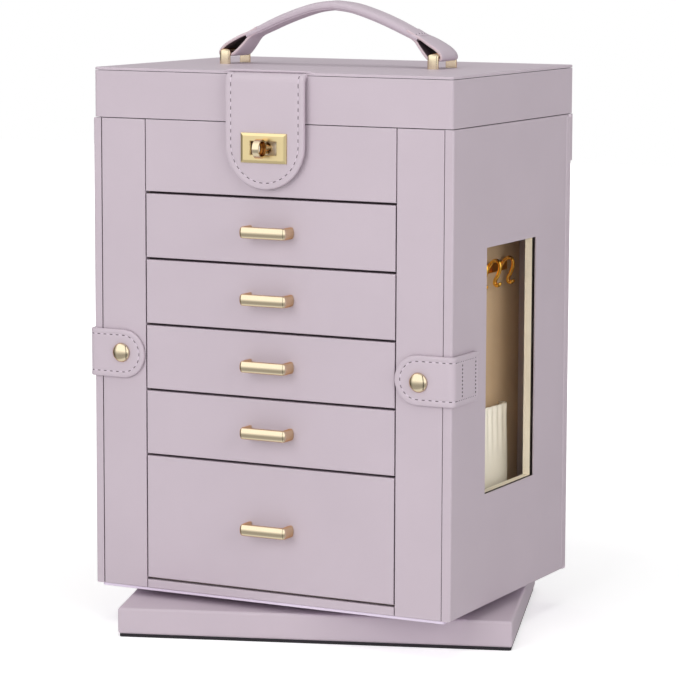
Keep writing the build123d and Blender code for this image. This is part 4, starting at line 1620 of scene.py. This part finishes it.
@dataclass
class Handle:
    """The arched grip and the straps that fold round the brackets."""

    base: float = 400.0
    centre_y: float = 2.2
    crown: tuple[Flat, ...] = ((0, 46.7), (14, 45.1), (27, 41.6), (42, 36.2), (55, 30.4), (69, 23.2))
    body: tuple[Flat, ...] = ((0, 7.0), (30, 7.3), (52, 7.0), (62, 6.2), (69, 5.4))
    grip_half: float = 10.0
    end_half: float = 10.9
    end: float = 68.6
    strap_thick: float = 2.0
    sides: int = 64
    seams: tuple[int, int] = (37, 59)
    seam_half: float = 1.5
    seam_groove: Flat = (0.04, 0.1)
    stitch_inset: Flat = (2.6, 2.4)
    loop_samples: int = 90
    loop: tuple[Flat, ...] = (
        (60.0, 26.4), (66.5, 22.9), (72.5, 20.3), (78.5, 17.0), (83.8, 13.9), (87.4, 10.6),
        (88.5, 7.6), (86.6, 6.4), (82.6, 6.4), (78.6, 7.0), (74.6, 10.4), (70.4, 15.0),
        (66.4, 19.6), (60.0, 24.0),
    )
    stitching: Stitching = Stitching(4.6, 2.9, 0.42, 1.6, 1.1)

    def section(self, x: float) -> list[Vector]:
        """The grip's outline at one place along it: a crowned top, round sides and a flatter belly."""
        side = abs(x)
        top = self.base + lookup(self.crown, side)
        thick = lookup(self.body, side)
        flare = eased((side - 56) / 12)
        half = self.grip_half + (self.end_half - self.grip_half) * flare
        middle = top - thick / 2
        slope = (lookup(self.crown, min(side + 1, 69)) - lookup(self.crown, max(side - 1, 0))) / 2
        lean = math.atan(slope) * (1 if x > 0 else -1)
        ring = []
        across_groove, deep_groove = self.seam_groove
        for step in range(self.sides):
            turn = 2 * math.pi * step / self.sides
            c, s = math.cos(turn), math.sin(turn)
            power = 0.72 if s > 0 else 0.5
            y = half * math.copysign(abs(c) ** power, c)
            z = thick / 2 * math.copysign(abs(s) ** (0.9 if s > 0 else 0.62), s)
            into_seam = self.seam_half - min(abs(step - seam) for seam in self.seams)
            if into_seam > 0:
                y *= 1 - across_groove * into_seam
                z *= 1 - deep_groove * into_seam
            ring.append(Vector((x - z * math.sin(lean), self.centre_y + y, middle + z * math.cos(lean))))
        return ring

    def build(self) -> None:
        """Makes the grip with both straps as one handle."""
        draft = Draft()
        xs = [self.end * math.sin(math.pi / 2 * i / 40) for i in range(-40, 41)]
        draft.rows([self.section(x) for x in xs])
        for side in Side:
            self.add_strap(draft, side)
            self.add_stitches(draft, side)
        handle = draft.piece("leather_handle", [TRIM, THREAD, NEEDLE_HOLE_SHADE, RAW_EDGE, UNDERSIDE_SHADE])
        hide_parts("carry_handle")
        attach(handle, "lid")
        log.info("handle: grip, two folded straps and their stitches")

    def add_strap(self, draft: Draft, side: Side) -> None:
        """Adds one strap, which leaves the grip, goes round the bracket and comes back."""
        line = through(self.loop, self.loop_samples)
        rows = []
        inks = [0] * 12
        for here, normal in square_to(line):
            wide = 10.2 + 3.3 * eased((here.x - 66) / 14)
            soft = 0.45
            half = self.strap_thick / 2
            flat = [
                (-wide + soft, half), (-wide / 2, half + 0.1), (0.0, half + 0.15), (wide / 2, half + 0.1),
                (wide - soft, half), (wide, half - soft), (wide, -half + soft), (wide - soft, -half),
                (0.0, -half), (-wide + soft, -half), (-wide, -half + soft), (-wide, half - soft),
            ]
            rows.append([
                Vector((
                    side.value * (here.x + normal.x * up),
                    self.centre_y + across,
                    self.base + here.y + normal.y * up,
                ))
                for across, up in flat
            ])
        inks[5] = inks[10] = 3
        inks[4] = inks[6] = inks[9] = inks[11] = 3
        # The underside faces take the dark finish as painted shade inside the fold.
        inks[7] = inks[8] = 4
        draft.rows(rows, ink=inks)

    def add_stitches(self, draft: Draft, side: Side) -> None:
        """Adds the row of stitches across the end of the grip."""
        x = side.value * (self.end - self.stitch_inset[0])
        half = self.end_half - self.stitch_inset[1]

        def place(along: float, across: float, height: float) -> Vector:
            """Puts a point on the crowned top of the grip's end."""
            crown = sorted(self.section(along)[:self.sides // 2 + 1], key=lambda point: point.y)
            y = self.centre_y + across
            return Vector((
                lookup([(point.y, point.x) for point in crown], y), y,
                lookup([(point.y, point.z) for point in crown], y) + height,
            ))

        self.stitching.sew(draft, [(x, -half), (x, half)], place, 0.0)


@dataclass
class Interior:
    """Ring rolls, hooks, snap studs and the gathered necklace pockets."""

    roll_count: int = 6
    roll_steps: int = 48
    roll_sides: int = 28
    roll_ripple: float = 0.18
    rail_face: float = 105.2
    rail_thick: float = 2.0
    rail_drops: Flat = (13.0, 6.0)
    rail_soft: float = 0.5
    hook_samples: int = 56
    hook_sides: int = 12
    hook_count: int = 6
    hook_wire: float = 1.4
    pocket_wall: float = 1.0
    pocket_back: float = 103.25
    pocket_columns: int = 150
    pocket_rows: int = 34
    gathers: int = 15
    gather_depth: float = 0.55
    hem_depth: float = 0.5
    hem_at: float = 0.955
    pocket_cut: tuple[float, float] = (158.0, 98.0)
    hook_line: tuple[Flat, ...] = (
        (-0.5, -1.5), (1.2, 1.8), (3.4, 5.0), (6.2, 6.6), (8.8, 5.6), (9.8, 2.6), (9.2, -1.2), (7.6, -4.8),
        (6.0, -8.0), (6.0, -10.4), (7.6, -11.4), (9.0, -10.4), (8.8, -9.2),
    )

    def build(self) -> None:
        """Makes the soft pieces and the hooks."""
        dress("snap_studs", POLISHED)
        self.build_rolls()
        for side in Side:
            self.build_hooks(side)
            self.build_pocket(side)
        log.info("interior: %d ring rolls, hooks and two pockets", self.roll_count)

    def build_rolls(self) -> None:
        """Makes the row of padded rolls that rings are pushed between."""
        low, high = node_box("ring_rolls")
        pitch = (high.y - low.y + 0.5) / self.roll_count
        draft = Draft()
        for number in range(self.roll_count):
            centre = low.y + pitch * (number + 0.5) - 0.25
            rows = []
            for step in range(self.roll_steps + 1):
                share = 2 * step / self.roll_steps - 1
                end = (1 - abs(share) ** 14) ** 0.5
                x = share * (high.x - 0.4)
                ripple = self.roll_ripple * math.sin(share * 21 + number * 1.7)
                ring = []
                for turn in range(self.roll_sides):
                    angle = 2 * math.pi * turn / self.roll_sides
                    c, s = math.cos(angle), math.sin(angle)
                    y = (pitch / 2 - 0.35) * math.copysign(abs(c) ** 0.55, c) * (0.86 + 0.14 * end)
                    tall = (high.z - low.z) / 2
                    z = tall + tall * math.copysign(abs(s) ** 0.7, s) * (0.9 + 0.1 * end)
                    z += ripple if s > 0.2 else 0.0
                    ring.append(Vector((x, centre + y, low.z + max(z, 0.0) - 0.2)))
                rows.append(ring)
            draft.rows(rows)
        rolls = draft.piece("ring_padding", [VELVET], sharp=70)
        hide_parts("ring_rolls")
        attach(rolls, "cabinet")

    def build_hooks(self, side: Side) -> None:
        """Makes one rail with its row of hooks, each a bent wire that ends in a curl and a ball."""
        low, high = node_box("necklace_hooks")
        rail_low, rail_high = (high.z - drop for drop in self.rail_drops)
        start = self.rail_face
        draft = Draft()
        rows = []
        round_by = self.rail_soft
        ends = ((low.y, round_by), (low.y + round_by, 0.0), (high.y - round_by, 0.0), (high.y, round_by))
        for y, soft in ends:
            near, far = start - self.rail_thick + 0.02, start - soft
            bottom, top = rail_low + soft, rail_high - soft
            ring = [
                (near, bottom), (far - round_by, bottom), (far, bottom + round_by),
                (far, top - round_by), (far - round_by, top), (near, top),
            ]
            rows.append([Vector((side.value * x, y, z)) for x, z in ring])
        draft.rows(rows)
        pitch = (high.y - low.y) / self.hook_count
        middle = (rail_low + rail_high) / 2
        line = through(self.hook_line, self.hook_samples)
        for number in range(self.hook_count):
            y = low.y + pitch * (number + 0.5)
            rows = []
            for index, (here, normal) in enumerate(square_to(line)):
                radius = self.hook_wire * (1.0 + 0.5 * math.exp(-(((len(line) - 4 - index) / 3) ** 2)))
                ring = []
                for turn in range(self.hook_sides):
                    angle = 2 * math.pi * turn / self.hook_sides
                    spot = here + normal * (radius * math.cos(angle))
                    aside = y + radius * math.sin(angle)
                    ring.append(Vector((side.value * (start + spot.x), aside, middle + spot.y)))
                rows.append(ring)
            draft.rows(rows)
        hooks = draft.piece(f"hook_rail_{side.name.lower()}", [HOOK_GOLD], sharp=45)
        if side is Side.RIGHT:
            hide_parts("necklace_hooks")
        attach(hooks, "cabinet")

    def build_pocket(self, side: Side) -> None:
        """Makes one pocket of stiffened velvet, with side gussets and a gathered top hem."""
        low, high = node_box("necklace_pockets")
        back = self.pocket_back
        deep = high.x - back - self.pocket_wall
        columns, tall = self.pocket_columns, self.pocket_rows
        outer = []
        for row in range(tall + 1):
            up = row / tall
            z = low.z + 1.0 + (high.z - low.z - 3.0) * up
            belly = 0.9 + 0.1 * math.sin(math.pi * min(up * 1.1, 1.0))
            foot = eased(up / 0.05) ** 0.5
            line = []
            for column in range(columns + 1):
                share = column / columns
                across = 2 * share - 1
                edge = (1 - abs(across) ** 16) ** 0.35
                y = low.y + 0.6 + (high.y - low.y - 1.2) * share
                wave = share * 2 * math.pi * self.gathers + 0.8 * math.sin(9 * share)
                gather = self.gather_depth * eased((up - 0.5) / 0.5) * math.sin(wave)
                hem = self.hem_depth * math.exp(-(((up - self.hem_at) / 0.012) ** 2))
                x = back + 0.2 + edge * (deep * belly * (0.35 + 0.65 * foot) + gather + hem)
                rise = 1.6 * math.sin(math.pi * share) * up ** 6
                line.append(Vector((side.value * x, y, z + rise)))
            outer.append(line)
        draft = Draft()
        draft.rows(outer, False)
        name = side.name.lower()
        # The pocket takes the paler velvet copy, painted light for the light that falls in through the
        # window.
        pocket = draft.piece(f"gathered_pocket_{name}", [LIT_CREAM_VELVET], sharp=80)
        thick = pocket.modifiers.new("thickness", "SOLIDIFY")
        thick.thickness = self.pocket_wall * MM
        thick.offset = 0.0
        if side is Side.RIGHT:
            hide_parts("necklace_pockets")
        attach(pocket, "cabinet")
        cut_width, cut_height = self.pocket_cut


def main() -> None:
    """Builds the studio and dresses the box, one sub-assembly after another."""
    logging.basicConfig(level=logging.INFO, format="%(name)s: %(message)s")
    Studio().build()
    Base().build()
    Cabinet().build()
    for side in Side:
        Door(side).build()
    Closure().build()
    Lid().build()
    Handle().build()
    Interior().build()
    Studio.light_compartments()


if __name__ == "__main__":
    main()
